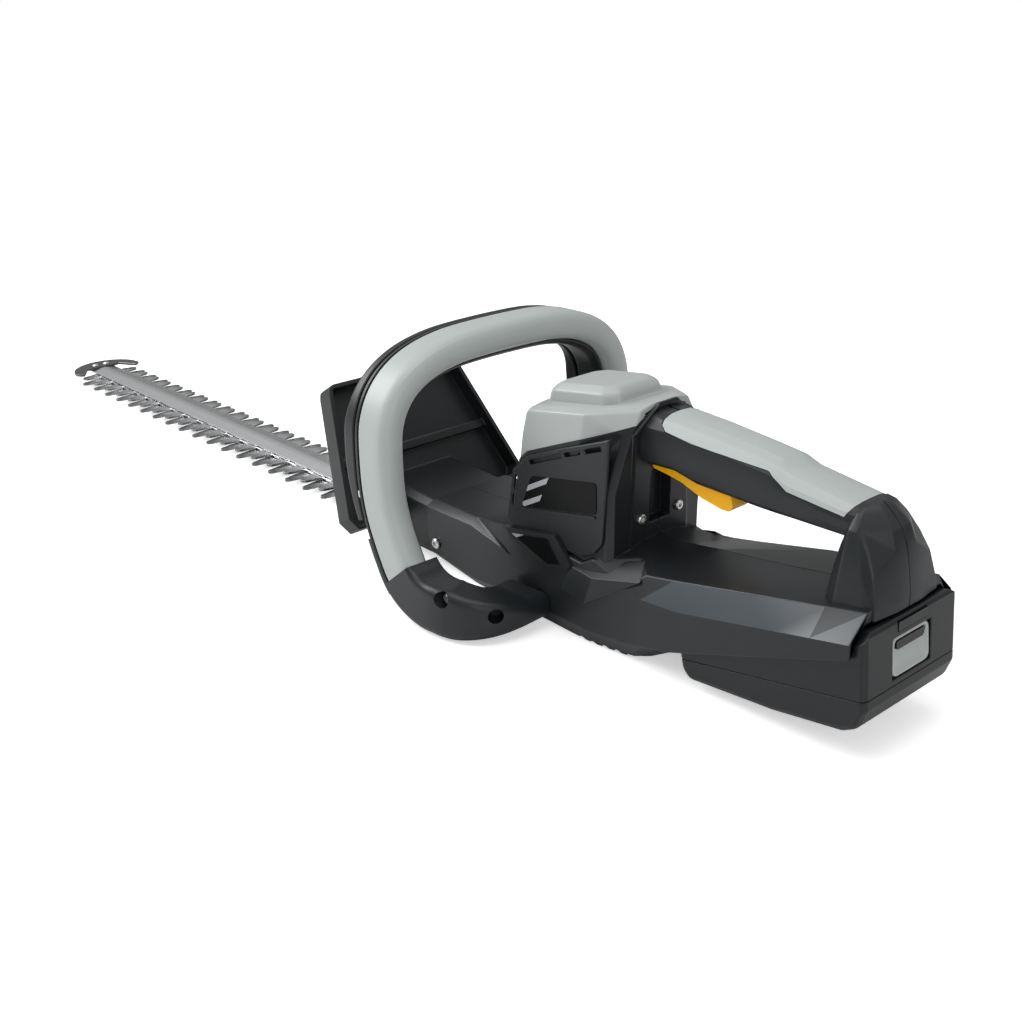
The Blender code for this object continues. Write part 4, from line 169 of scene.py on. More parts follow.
def node(tree, kind, x=0, y=0, **values):
    """Add a node and set its inputs and attributes, with _ for a space in an input's name."""
    made = tree.nodes.new(kind)
    made.location = (x, y)
    for key, value in values.items():
        label = key.replace("_", " ")
        if label in made.inputs:
            feed(tree, made.inputs[label], value)
        else:
            setattr(made, key, value)
    return made


def new_group(name, inputs, outputs):
    """An empty shader group with named number inputs and outputs, and what it is given."""
    tree = bpy.data.node_groups.new(name, "ShaderNodeTree")
    for label, value in inputs:
        socket = tree.interface.new_socket(label, in_out="INPUT", socket_type="NodeSocketFloat")
        socket.default_value = value
    for label in outputs:
        tree.interface.new_socket(label, in_out="OUTPUT", socket_type="NodeSocketFloat")
    return tree, node(tree, "NodeGroupInput", -1500).outputs


def maths(tree, operation, *values, clamp=False):
    """A Math node fed with numbers and outputs."""
    made = node(tree, "ShaderNodeMath", operation=operation, use_clamp=clamp)
    for socket, value in zip(made.inputs, values):
        feed(tree, socket, value)
    return made.outputs[0]


def blended(tree, first, share, second, other_share):
    """The sum of two outputs, each by its own share."""
    return maths(tree, "ADD", maths(tree, "MULTIPLY", first, share),
                 maths(tree, "MULTIPLY", second, other_share))


def noise(tree, vector, scale, detail=2.0, roughness=0.5):
    """A Noise Texture on the given vector, with a number or an output for its scale."""
    return node(tree, "ShaderNodeTexNoise", Vector=vector, Scale=scale, Detail=detail,
                Roughness=roughness).outputs["Fac"]


def object_place(tree):
    """Where a point lies on its piece, as an output."""
    return node(tree, "ShaderNodeTexCoord", -1300).outputs["Object"]


def split_place(tree, place, y=0):
    """The X, Y and Z of a place, as outputs by name."""
    return node(tree, "ShaderNodeSeparateXYZ", -1100, y, Vector=place).outputs


def moulded_grain_group():
    """Spark-eroded mould texture: fine pits, flow marks and a little polish from handling."""
    tree, given = new_group("Moulded Grain", [("Grain Size", 0.45 * MM), ("Handling", 0.4)],
                            ["Height", "Shade", "Gloss"])
    place = object_place(tree)
    scale = maths(tree, "DIVIDE", 1.0, given["Grain Size"])
    fine = noise(tree, place, scale, 3.0, 0.6)
    pits = node(tree, "ShaderNodeTexVoronoi", -700, -200, feature="SMOOTH_F1", Vector=place,
                Scale=maths(tree, "MULTIPLY", scale, 1.3)).outputs["Distance"]
    flow = noise(tree, place, 22.0, 3.0, 0.55)
    patches = noise(tree, place, 9.0, 2.0, 0.5)
    node(tree, "NodeGroupOutput", 600,
         Height=blended(tree, fine, 0.6, pits, 0.4),
         Shade=blended(tree, flow, 0.6, fine, 0.4),
         Gloss=blended(tree, flow, 0.5, patches, given["Handling"]))
    return tree


def edge_wear_and_highlight_group():
    """Where an edge is lighter, for rubbing and as a painted highlight on its crest: the edge
    attribute, broken up by a soft noise.
    """
    tree, given = new_group("Edge Rub", [("Amount", 0.6), ("Spread", 160.0)], ["Mask"])
    edge = node(tree, "ShaderNodeAttribute", -1100, -300, attribute_name="edge").outputs["Fac"]
    breakup = noise(tree, object_place(tree), given["Spread"], 4.0, 0.6)
    patchy = maths(tree, "MULTIPLY_ADD", breakup, 1.6, -0.3, clamp=True)
    rubbed = maths(tree, "MULTIPLY", edge, patchy)
    node(tree, "NodeGroupOutput", 600,
         Mask=maths(tree, "MULTIPLY", rubbed, given["Amount"], clamp=True))
    return tree


def ground_steel_group():
    """Grinding marks that run one way, with duller spots between them."""
    tree, given = new_group("Ground Steel", [("Along", 40.0), ("Across", 2600.0)],
                            ["Height", "Shade", "Gloss"])
    place = object_place(tree)
    stretch = node(tree, "ShaderNodeCombineXYZ", -1100, 200, X=given["Along"],
                   Y=given["Across"], Z=given["Across"])
    scaled = node(tree, "ShaderNodeVectorMath", -900, 100, operation="MULTIPLY")
    feed(tree, scaled.inputs[0], place)
    feed(tree, scaled.inputs[1], stretch.outputs[0])
    lines = noise(tree, scaled.outputs[0], 1.0, 3.0, 0.7)
    spots = noise(tree, place, 70.0, 3.0, 0.6)
    node(tree, "NodeGroupOutput", 600, Height=lines, Gloss=spots,
         Shade=blended(tree, lines, 0.55, spots, 0.45))
    return tree


SHADER_GROUPS = {}


def shader_group(name):
    """One of the three shared effects, built the first time that it is needed."""
    makers = {"grain": moulded_grain_group, "rub_and_highlight": edge_wear_and_highlight_group, "steel": ground_steel_group}
    if name not in SHADER_GROUPS:
        SHADER_GROUPS[name] = makers[name]()
    return SHADER_GROUPS[name]


# ---------------------------------------------------------------- finishes

BUMP_STRENGTH = {"grain": 0.35, "steel": 0.3}
TOOTH_SPAN = (18 * MM, 29 * MM)         # from the blades' middle to the teeth's roots and points
BAR_PITCH, BAR_SHARE, BAR_LEAN = 17 * MM, 0.38, 1.9     # of the bars on the label plates
BARS_END, BARS_END_LEAN = at(-21, 0, 78), 0.5           # the slanted line that they stop on


def blank_material(name, roughness, metallic=0.0):
    """A material with its Principled shader and nothing linked yet."""
    made = bpy.data.materials.new(name)
    made.use_nodes = True
    shader = made.node_tree.nodes["Principled BSDF"]
    shader.inputs["Roughness"].default_value = roughness
    shader.inputs["Metallic"].default_value = metallic
    return made, made.node_tree, shader


def mixed_colour(tree, factor, low, high):
    """Blend two colours by another node's output."""
    mix = node(tree, "ShaderNodeMix", data_type="RGBA")
    share, first, second = mix.inputs[0], mix.inputs[6], mix.inputs[7]
    for socket, value in ((share, factor), (first, low), (second, high)):
        feed(tree, socket, value)
    return mix.outputs[2]


def ranged(tree, value, low, high, from_low=0.25, from_high=0.75):
    """Spread the middle of a noise over a range of values."""
    return node(tree, "ShaderNodeMapRange", Value=value, From_Min=from_low, From_Max=from_high,
                To_Min=low, To_Max=high).outputs["Result"]


def shaded_surface(tree, shader, kind, colour, edge_colour, contrast, rub_and_highlight, depth, **sizes):
    """What plastics and metals share: uneven colour, edges lighter for rubbing and as a painted
    highlight, and a fine bump.
    """
    surface = node(tree, "ShaderNodeGroup", -900, 100, node_tree=shader_group(kind), **sizes)
    darker = [c * (1 - contrast) for c in colour]
    lighter = [min(c * (1 + contrast), 1) for c in colour]
    shaded = mixed_colour(tree, ranged(tree, surface.outputs["Shade"], 0, 1), darker, lighter)
    # rubbed wear and painted highlight: where the rounded edges take the lighter edge colour
    edges = node(tree, "ShaderNodeGroup", -900, -200, node_tree=shader_group("rub_and_highlight"),
                 Amount=rub_and_highlight)
    bump = node(tree, "ShaderNodeBump", -300, -300, Distance=depth * MM,
                Strength=BUMP_STRENGTH[kind], Height=surface.outputs["Height"])
    feed(tree, shader.inputs["Normal"], bump.outputs["Normal"])
    coloured = mixed_colour(tree, edges.outputs["Mask"], shaded, edge_colour)
    return coloured, surface.outputs["Gloss"]


def plastic(name, colour, roughness, grain, depth=0.03, contrast=0.10, rub_and_highlight=0.5, lift=1.6,
            specular=0.5):
    """Moulded plastic in one colour, with mould grain and lighter edges, for rubbing and as a
    painted highlight.
    """
    made, tree, shader = blank_material(name, roughness)
    shader.inputs["Specular IOR Level"].default_value = specular
    # the edges' lighter colour is partly wear and partly a painted highlight on the crests
    edge_colour = [min(c * lift + 0.01, 1) for c in colour]
    coloured, gloss = shaded_surface(tree, shader, "grain", colour, edge_colour, contrast, rub_and_highlight,
                                     depth, Grain_Size=grain)
    feed(tree, shader.inputs["Base Color"], coloured)
    feed(tree, shader.inputs["Roughness"],
         ranged(tree, gloss, roughness + 0.05, roughness - 0.05, 0.3, 0.9))
    return made


def steel(name, colour, roughness, along=40.0, across=2600.0, depth=0.01, rub_and_highlight=0.6, lift=1.25,
          dark_tips=1.0):
    """Ground or rolled metal with marks that run one way and brighter edges, for rubbing and as a
    painted highlight.
    """
    made, tree, shader = blank_material(name, roughness, metallic=1.0)
    # the edges' brighter colour is partly wear and partly a painted highlight on the crests
    edge_colour = [min(c * lift, 1) for c in colour]
    coloured, gloss = shaded_surface(tree, shader, "steel", colour, edge_colour, 0.12, rub_and_highlight,
                                     depth, Along=along, Across=across)
    if dark_tips < 1:                               # towards the points of the blades' teeth
        from_middle = maths(tree, "ABSOLUTE", split_place(tree, object_place(tree), 500)["Y"])
        coloured = mixed_colour(tree, ranged(tree, from_middle, 0, 1, *TOOTH_SPAN), coloured,
                                [c * dark_tips for c in colour])
    feed(tree, shader.inputs["Base Color"], coloured)
    feed(tree, shader.inputs["Roughness"],
         ranged(tree, gloss, roughness + 0.07, roughness - 0.05))
    return made


def striped_label(name, colour, stripe):
    """A dark gloss plate with plain slanted bars at its front end."""
    made, tree, shader = blank_material(name, 0.24)
    shader.inputs["Specular IOR Level"].default_value = 0.1
    place = object_place(tree)
    split = split_place(tree, place)
    along, up = split["X"], split["Z"]
    slant = maths(tree, "MULTIPLY_ADD", up, BAR_LEAN, along)
    band = maths(tree, "FRACT", maths(tree, "MULTIPLY", slant, 1 / BAR_PITCH))
    bars = maths(tree, "GREATER_THAN", band, 1 - BAR_SHARE)
    front = maths(tree, "GREATER_THAN", maths(tree, "MULTIPLY_ADD", up, BARS_END_LEAN, along),
                  BARS_END.x + BARS_END_LEAN * BARS_END.z)
    mask = maths(tree, "MULTIPLY", bars, front)
    specks = noise(tree, place, 900.0, 2.0)
    tone = mixed_colour(tree, ranged(tree, specks, 0, 1), [c * 0.9 for c in colour], colour)
    feed(tree, shader.inputs["Base Color"], mixed_colour(tree, mask, tone, stripe))
    feed(tree, shader.inputs["Roughness"], ranged(tree, specks, 0.22, 0.28))
    return made


FINISHES = {}


def finish(name):
    """One of the trimmer's finishes, made the first time that it is asked for."""
    if name in FINISHES:
        return FINISHES[name]
    colours = bpy.context.scene.trimmer_colours
    grain = bpy.context.scene.trimmer_sizes.grain
    makers = {
        "body": lambda: plastic("dark body moulding", colours.body, 0.36, grain, specular=0.36),
        # painted reflection: the skirt's band gets the body colour four times lighter, as well as
        # a smoother surface
        "skirt": lambda: plastic("smooth skirt moulding", [4.0 * c for c in colours.body], 0.3,
                                 0.6 * grain, 0.012, contrast=0.06),
        "guard": lambda: plastic("guard moulding", colours.guard, 0.4, 0.9 * grain, specular=0.4),
        "grip": lambda: plastic("soft grey grip", colours.grip, 0.42, 0.7 * grain, 0.02,
                                contrast=0.04, rub_and_highlight=0.3, lift=1.15),
        "cap": lambda: plastic("light cap moulding", colours.cap, 0.38, 0.7 * grain, 0.02,
                               contrast=0.03, rub_and_highlight=0.3, lift=1.12),
        "trigger": lambda: plastic("amber trigger", colours.trigger, 0.36, 0.6 * grain, 0.015,
                                   contrast=0.03, rub_and_highlight=0.3, lift=1.1, specular=0.25),
        "label": lambda: striped_label("blank gloss label", colours.label, (0.36, 0.37, 0.39)),
        "window": lambda: plastic("dark indicator window", colours.label, 0.2, 0.3 * grain, 0.003,
                                  contrast=0.2, rub_and_highlight=0.2, specular=0.3),
        "battery": lambda: plastic("battery case moulding", [0.62 * c for c in colours.body],
                                   0.34, grain, specular=0.36),
        "latch": lambda: plastic("grey latch moulding", colours.grip, 0.4, 0.6 * grain, 0.015,
                                 contrast=0.05, rub_and_highlight=0.4, lift=1.2),
        "black": lambda: plastic("black inner moulding", (0.012, 0.012, 0.013), 0.5, grain),
        "blade": lambda: steel("ground blade steel", colours.blade, 0.26, dark_tips=0.30),
        "bar": lambda: steel("rolled guide bar", colours.bar, 0.2, along=12.0, across=1500.0),
        "screw": lambda: steel("plated screw steel", (0.62, 0.62, 0.60), 0.25, 300.0, 900.0),
        "dark steel": lambda: steel("dark guard steel", (0.10, 0.10, 0.105), 0.42, 60.0, 900.0,
                                    lift=2.5),
        "dark screw": lambda: steel("blackened screw steel", (0.05, 0.05, 0.055), 0.38, 300.0,
                                    900.0, rub_and_highlight=0.8, lift=4.0),
        "gear": lambda: steel("cut gear steel", (0.42, 0.42, 0.43), 0.36, 500.0, 500.0),
        "casting": lambda: steel("cast alloy", (0.45, 0.45, 0.46), 0.52, 350.0, 350.0, 0.05),
        "copper": lambda: steel("motor can", (0.33, 0.33, 0.34), 0.4, 900.0, 90.0),
        "board": lambda: plastic("circuit board", (0.02, 0.16, 0.07), 0.3, 0.3 * grain, 0.01),
        "sleeve": lambda: plastic("cell sleeve", (0.03, 0.20, 0.42), 0.3, 0.4 * grain, 0.01),
    }
    FINISHES[name] = makers[name]()
    return FINISHES[name]


NODE_FINISHES = {
    "blade": ["upper_blade", "lower_blade"],
    "bar": ["guide_bar"],
    "gear": ["drive_gear", "gear_shaft", "bearing_lower", "bearing_upper", "motor_shaft",
             "base_plate"],
    "casting": ["gear_case"],
    "copper": ["motor_body"],
    "body": ["housing_left", "housing_right", "vent_panel_left", "vent_panel_right"],
    "battery": ["battery_case_upper", "battery_case_lower"],
    "guard": ["hand_guard", "front_handle_frame", "front_switch_lever"],
    "grip": ["front_handle_grip", "grip_overmould"],
    "cap": ["motor_cap"],
    "trigger": ["trigger"],
    "latch": ["battery_latch"],
    "window": ["charge_indicator"],
    "black": ["main_switch", "terminal_block", "motor_fan"],
    "board": ["control_board"],
    "screw": ["handle_screw_left", "handle_screw_right", "guard_screw_left",
              "guard_screw_right", "arm_bolt_left", "arm_bolt_right", "tip_rivet_left",
              "tip_rivet_right", "trigger_pin", "lever_pin_left", "lever_pin_right"],
    "dark screw": ["tip_guard"] + [f"blade_bolt_{i}" for i in range(1, 5)]
                  + [f"housing_screw_{i}" for i in range(1, 6)],
    "sleeve": [f"battery_cell_{i}" for i in range(1, 6)],
}


class TRIMMER_OT_paint_solids(bpy.types.Operator):
    """Give every carried-over solid of the trimmer its finish"""
    bl_idname = "trimmer.paint_solids"
    bl_label = "Paint Solids"

    def execute(self, context):
        painted = set()
        for name, members in NODE_FINISHES.items():
            for member in members:
                data = frame["nodes"][member].data
                data.materials.clear()
                data.materials.append(finish(name))
                painted.add(member)
        left = sorted(set(frame["nodes"]) - painted)
        if left:
            raise RuntimeError(f"these solids have no finish: {left}")
        return {"FINISHED"}


# ---------------------------------------------------------------- moulded shells

ROUNDING_STEPS = 2
ROUNDING_TRIES = 6
SHARP_CORNER = 17.0         # degrees past which a shell's edge is rounded
STRAY = 0.55                # share of the rounding that a point may lie off the solid
CALM_REACH = 2.5            # roundings round a stray point in which the edges stay sharp
NECK_REAR = 40.0            # mm; the slim neck lies in front of this
FLATNESS, CAP_FLATNESS = 0.6, 1.0       # degrees within which neighbouring faces are made one
TRIGGER_SHARE = 0.955       # of its width, for room beside it in the slot of the grip
SOLE_Z, SOLE_BEND, SOLE_RISE = -6.75, -58.0, 0.038      # mm, mm and slope of the body's sole
GROOVES, GROOVE_X, GROOVE_HALF, GROOVE_SUNK, GROOVE_RADIUS = 5, -50.0, 60.0, 1.4, 2.9   # mm
COLLAR_REAR, COLLAR_FRONT, COLLAR_FOOT = -81.0, -76.8, 126.0        # mm; what is drawn in
COLLAR_HALF, COLLAR_LEVEL, COLLAR_TAPER = 17.5, 124.0, 0.9  # mm to a side, where, and per mm up
# The skirt's slanted faces, which take a lighter copy of the body's finish as a painted
# reflection: how far out, rearward and high they are in mm, and how much of their direction is
# outward and up.
SKIRT_OUT, SKIRT_FRONT, SKIRT_LOW, SKIRT_HIGH, SKIRT_LEAN = 36.2, -108.0, 38.0, 66.0, 0.3
ROOM_ALONG, ROOM_ASIDE = 0.45, 0.42     # shares of an edge's length and of the way to a corner
PAST_END = 0.3              # of an edge's length, within which a corner still counts as beside it

SHELLS = {
    # piece: node it stands for, finish, edge rounding in mm, angle up to which it reads as smooth
    "body_shell_left": ("housing_left", "body", 0.9, 30),
    "body_shell_right": ("housing_right", "body", 0.9, 30),
    "vent_grille_left": ("vent_panel_left", "body", 0.7, 24),
    "vent_grille_right": ("vent_panel_right", "body", 0.7, 24),
    "motor_cap_shell": ("motor_cap", "cap", 2.6, 50),
    "rear_grip_cover": ("grip_overmould", "grip", 0.9, 34),
    "guard_tray": ("hand_guard", "guard", 1.0, 24),
    "battery_shell_upper": ("battery_case_upper", "battery", 0.5, 30),
    "battery_shell_lower": ("battery_case_lower", "battery", 0.5, 30),
    "blade_plate_upper": ("upper_blade", "blade", 0.7, 30),
    "blade_plate_lower": ("lower_blade", "blade", 0.7, 30),
    "guide_bar_plate": ("guide_bar", "bar", 0.6, 7),
    "tip_guard_plate": ("tip_guard", "dark steel", 0.7, 30),
    "rear_trigger": ("trigger", "trigger", 0.9, 40),
}


def linked(name, data):
    """A new object in the scene, at the origin."""
    obj = bpy.data.objects.new(name, data)
    bpy.context.scene.collection.objects.link(obj)
    return obj


def merged_copy(name):
    """A carried-over solid's triangles, joined up again and its flat faces made whole."""
    flatness = CAP_FLATNESS if name == "motor_cap" else FLATNESS
    bm = bmesh.new()
    bm.from_mesh(frame["nodes"][name].data)
    bmesh.ops.remove_doubles(bm, verts=bm.verts[:], dist=1e-6)
    bmesh.ops.dissolve_limit(bm, angle_limit=math.radians(flatness), verts=bm.verts[:],
                             edges=bm.edges[:], use_dissolve_boundaries=False)
    return bm


def edge_room(edge):
    """How wide a rounding an edge has room for before it meets the next corner."""
    first, second = (v.co for v in edge.verts)
    along = second - first
    length = along.length
    along.normalize()
    room = ROOM_ALONG * length
    for face in edge.link_faces:
        for vertex in face.verts:
            if vertex in edge.verts:
                continue
            offset = vertex.co - first
            run = offset.dot(along)
            away = (offset - along * run).length
            beside = -PAST_END * length < run < (1 + PAST_END) * length
            neighbour = any(e.other_vert(vertex) in edge.verts for e in vertex.link_edges)
            if (beside or neighbour) and away > 1e-6:
                room = min(room, ROOM_ASIDE * away)
    return room


def on_neck_seam(edge):
    """Whether an edge is on the seam along the slim neck, where there is no room to round it."""
    return all(abs(v.co.y) < 0.3 * MM and v.co.x > DRIVE.x + NECK_REAR * MM
               for v in edge.verts)


def rounded_mesh(bm, name, width, smooth_angle, corner_angle=SHARP_CORNER):
    """Round a shell's corners as far as each has room, and mark the strips as edges."""
    surface = BVHTree.FromBMesh(bm)
    weights = bm.edges.layers.float.new("bevel_weight_edge")
    for edge in bm.edges:
        if (len(edge.link_faces) == 2 and not on_neck_seam(edge)
                and edge.calc_face_angle(0) > math.radians(corner_angle)):
            edge[weights] = min(1.0, edge_room(edge) / width)
    obj = None
    for _ in range(ROUNDING_TRIES):
        if obj:
            discard(obj)
        obj = bevelled_copy(bm, name, width)
        astray = [v.co.copy() for v in obj.data.vertices
                  if surface.find_nearest(v.co)[3] > STRAY * width]
        if not astray:
            break
        for point in astray:
            nearest = min(bm.verts, key=lambda v: (v.co - point).length_squared)
            for edge in bm.edges:
                if min((v.co - nearest.co).length for v in edge.verts) < CALM_REACH * width:
                    edge[weights] = 0.0
    bm.free()
    for vertex in obj.data.vertices:                # what still strays goes back on the solid
        place, _, _, off = surface.find_nearest(vertex.co)
        if off > STRAY * width:
            vertex.co = place
    mark_edges(obj.data)
    smoothed(obj, smooth_angle)
    return obj


def discard(obj):
    """Remove a piece and its mesh."""
    mesh = obj.data
    bpy.data.objects.remove(obj)
    bpy.data.meshes.remove(mesh)


def bevelled_copy(bm, name, width):
    """One try at rounding the weighted edges of a shell."""
    mesh = bpy.data.meshes.new(name)
    bm.to_mesh(mesh)
    for _ in ("faces", "rounded corners"):
        mesh.materials.append(None)
    obj = linked(name, mesh)
    bevel = obj.modifiers.new("rounded corners", "BEVEL")
    bevel.limit_method = "WEIGHT"
    bevel.width = width
    bevel.segments = ROUNDING_STEPS
    bevel.use_clamp_overlap = False
    bevel.miter_outer = "MITER_SHARP"
    bevel.material = 1
    return applied(obj)


def applied(obj):
    """Turn a piece and its modifiers into a plain mesh."""
    bpy.context.view_layer.update()
    graph = bpy.context.evaluated_depsgraph_get()
    made = bpy.data.meshes.new_from_object(obj.evaluated_get(graph))
    obj.modifiers.clear()
    old = obj.data
    obj.data = made
    bpy.data.meshes.remove(old)
    made.name = obj.name
    return obj


def mark_edges(mesh):
    """Keep which faces are rounded corners, for the rubbed look and painted highlight, and drop
    the extra slot.
    """
    index = np.zeros(len(mesh.polygons), np.int32)
    mesh.polygons.foreach_get("material_index", index)
    mark = mesh.attributes.new("edge", "FLOAT", "FACE")
    mark.data.foreach_set("value", index.astype(np.float32))
    mesh.polygons.foreach_set("material_index", np.zeros_like(index))
    mesh.materials.clear()


def smoothed(obj, angle):
    """Shade a piece smooth up to an angle, with its large flat faces kept flat."""
    mesh = obj.data
    mesh.polygons.foreach_set("use_smooth", np.ones(len(mesh.polygons), bool))
    mesh.set_sharp_from_angle(angle=math.radians(angle))
    weighted = obj.modifiers.new("flat faces", "WEIGHTED_NORMAL")
    weighted.keep_sharp = True
    weighted.weight = 50


def attach(piece, look, body):
    """Give a finished piece its finish, and tie it to a body and a material slot."""
    piece.data.materials.clear()
    piece.data.materials.append(finish(look))
    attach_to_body(piece, body)


def settle(piece, look, solid):
    """Attach a finished piece where the solid is that it stands for."""
    attach(piece, look, body_of(frame["nodes"][solid])[0])
    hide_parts(solid)


def fit_collar(bm):
    """Draw the tower's rear collar in, so that it hugs the round front of the rear grip."""
    for vertex in bm.verts:
        place = (vertex.co - DRIVE) / MM
        if COLLAR_REAR < place.x < COLLAR_FRONT and place.z > COLLAR_FOOT:
            reach = COLLAR_HALF - COLLAR_TAPER * (place.z - COLLAR_LEVEL)
            if abs(place.y) > reach:
                vertex.co.y = math.copysign(reach * MM, place.y)


def carved(bm, tools):
    """Cut a set of tools out of a shell that is still being made."""
    mesh = bpy.data.meshes.new("carved")
    bm.to_mesh(mesh)
    bm.free()
    obj = linked("carved", mesh)
    for tool in tools:
        combined(obj, tool, "DIFFERENCE")
    made = bmesh.new()
    made.from_mesh(obj.data)
    discard(obj)
    return made


def collar_clearance():
    """A block round the far grille's upper rear corner, where the collar has drawn in."""
    outline = [(-90, 113.5), (-66, 115), (-66, 131), (-90, 131)]
    return slab("corner", outline, -46, -30)


def foot_groove(index, pitch):
    """One of the round grooves across the body's foot, which leave ribs to set it down on."""
    x = GROOVE_X - index * pitch / MM
    under = SOLE_Z if x > SOLE_BEND else SOLE_Z + SOLE_RISE * (SOLE_BEND - x)
    return drum("groove", at(x, -GROOVE_HALF, under - GROOVE_SUNK), GROOVE_RADIUS * MM,
                2 * GROOVE_HALF * MM, (0, 1, 0), 16)


def paint_skirt_reflection(piece):
    """Give the slanted band along the rear of the body its smoother finish, made lighter as a
    painted reflection of a bright lamp.
    """
    piece.data.materials.append(finish("skirt"))
    for face in piece.data.polygons:
        middle = (face.center - DRIVE) / MM
        if (abs(middle.y) > SKIRT_OUT and middle.x < SKIRT_FRONT
                and SKIRT_LOW < middle.z < SKIRT_HIGH
                and min(abs(face.normal.y), face.normal.z) > SKIRT_LEAN):
            face.material_index = 1


class TRIMMER_OT_build_shells(bpy.types.Operator):
    """Build the moulded shells with rounded edges, lightened for rubbing and as a painted
    highlight
    """
    bl_idname = "trimmer.build_shells"
    bl_label = "Build Shells"

    def execute(self, context):
        sizes = context.scene.trimmer_sizes
        for name, (source, look, width, angle) in SHELLS.items():
            bm = merged_copy(source)
            if source.startswith("housing"):
                fit_collar(bm)
                bm = carved(bm, [foot_groove(i, sizes.rib_pitch) for i in range(GROOVES)])
            if source == "vent_panel_right":
                bm = carved(bm, [collar_clearance()])
            if source == "trigger":
                for vertex in bm.verts:
                    vertex.co.y *= TRIGGER_SHARE
            piece = rounded_mesh(bm, name, width * MM * sizes.rounding, angle)
            settle(piece, look, source)
            if source.startswith("housing"):
                # painted reflection on the slanted band along the rear
                paint_skirt_reflection(piece)
        return {"FINISHED"}


# ---------------------------------------------------------------- front handle

# Sizes in mm. Along the handle, places are counted in stations from the middle of its top.
HANDLE_X, HANDLE_HALF, HANDLE_TOP, HANDLE_CORNER = 61.0, 91.5, 145.9, 84.0
ARM_X, ARM_Z = -8.0, 9.0
GRIP_DEPTH, BAR_HALF = 13.5, 12.0
GRIP_END, LEVER_END = 14, 11
LEVER_GAP, LEVER_DEPTH, LEVER_SWELL = 5.0, 5.0, 6.0
SWELL_END, TAPER_START, LEVER_TAPER = 8, 9, 2.0         # the lever's, the last in mm a station
ELBOW_SPAN, FOOT_SPAN, FOOT_HASTE = 3, 5, 1.4           # of the arm's two changes of its cut
FOOT_SPREAD = 6.0
ARM_STATIONS = [
    # shares of the arm's reach, of the drop to it, and of the half width
    (0.01, 0.21, 0), (0.05, 0.385, 0), (0.115, 0.54, 0), (0.185, 0.675, 0), (0.265, 0.80, 0),
    (0.385, 0.905, 0), (0.54, 0.97, 0), (0.70, 0.995, 0.005), (0.835, 1, 0.03),
    (0.94, 1, 0.09), (1.005, 1, 0.18), (1.025, 1, 0.29), (1.015, 1, 0.43), (1, 1, 0.56),
]
BOW_POWER = 2 / 3.1         # how square the bow over the top is; 1 would be an ellipse
# How far the arm's cut reaches before and behind its path, in mm: below the grip, at the
# elbow and at the body.
ARM_REACH = (-19.5, 13.5), (-15.0, 17.0), (-9.61, 5.89)
SCREW_WELLS = [
    # place in mm on the left arm, radius in mm, and the direction that the well runs in
    ((3, HANDLE_HALF + 2, 20), 4.9, (0, 1, 0.08)),
    ((-13, 73, 11), 4.6, (-0.75, 0.66, 0.08)),
]


def handle_stations():
    """Centre points of the front handle's left half in mm, from its top to the body."""
    points = []
    for i in range(10):
        angle = math.radians(90 - 10 * i)
        out = max(math.cos(angle), 0) ** BOW_POWER if i else 0
        up = max(math.sin(angle), 0) ** BOW_POWER
        points.append(Vector((HANDLE_X, HANDLE_HALF * out,
                              HANDLE_CORNER + (HANDLE_TOP - HANDLE_CORNER) * up)))
    for back, drop, inward in ARM_STATIONS:
        points.append(Vector((HANDLE_X - (HANDLE_X - ARM_X) * back, HANDLE_HALF * (1 - inward),
                              HANDLE_CORNER - (HANDLE_CORNER - ARM_Z) * drop)))
    return points


def handle_frames(fine=5):
    """Smooth path through the stations: place, rearward and outward directions by step."""
    stations = handle_stations()
    first, last = stations[1], stations[-1]
    chain = [Vector((first.x, -first.y, first.z)), *stations, last * 2 - stations[-2]]
    path = []
    for i in range(len(stations) - 1):
        a, b, c, d = chain[i:i + 4]
        for j in range(fine):
            t = j / fine
            point = (b * 2 + (c - a) * t + (a * 2 - b * 5 + c * 4 - d) * t ** 2
                     + (b * 3 - a - c * 3 + d) * t ** 3) / 2
            path.append((i + t, point))
    path.append((len(stations) - 1, last))
    frames = []
    rearward = Vector((-1, 0, 0))
    for i, (step, point) in enumerate(path):
        ahead = path[min(i + 1, len(path) - 1)][1]
        behind = path[i - 1][1] if i else Vector((ahead.x, -ahead.y, ahead.z))
        tangent = (ahead - behind).normalized()
        rearward = (rearward - tangent * rearward.dot(tangent)).normalized()
        frames.append((step, point, rearward.copy(), tangent.cross(rearward)))
    return frames


def softened(outline, radii, steps=4):
    """A closed outline with each of its corners turned into a short curve."""
    points = []
    count = len(outline)
    for i, radius in enumerate(radii):
        here = Vector(outline[i])
        before, after = Vector(outline[i - 1]), Vector(outline[(i + 1) % count])
        start = here + (before - here).normalized() * min(radius, 0.48 * (before - here).length)
        end = here + (after - here).normalized() * min(radius, 0.48 * (after - here).length)
        for j in range(steps + 1):
            t = j / steps
            points.append(start * (1 - t) ** 2 + here * 2 * t * (1 - t) + end * t ** 2)
    return points


def skin(rings, name):
    """Join rings of points into a shell, closed at both ends."""
    bm = bmesh.new()
    loops = [[bm.verts.new(point) for point in ring] for ring in rings]
    count = len(loops[0])
    for low, high in zip(loops, loops[1:]):
        for i in range(count):
            j = (i + 1) % count
            bm.faces.new((low[i], low[j], high[j], high[i]))
    bm.faces.new(list(reversed(loops[0])))
    bm.faces.new(loops[-1])
    bmesh.ops.recalc_face_normals(bm, faces=bm.faces[:])
    mesh = bpy.data.meshes.new(name)
    bm.to_mesh(mesh)
    bm.free()
    return linked(name, mesh)


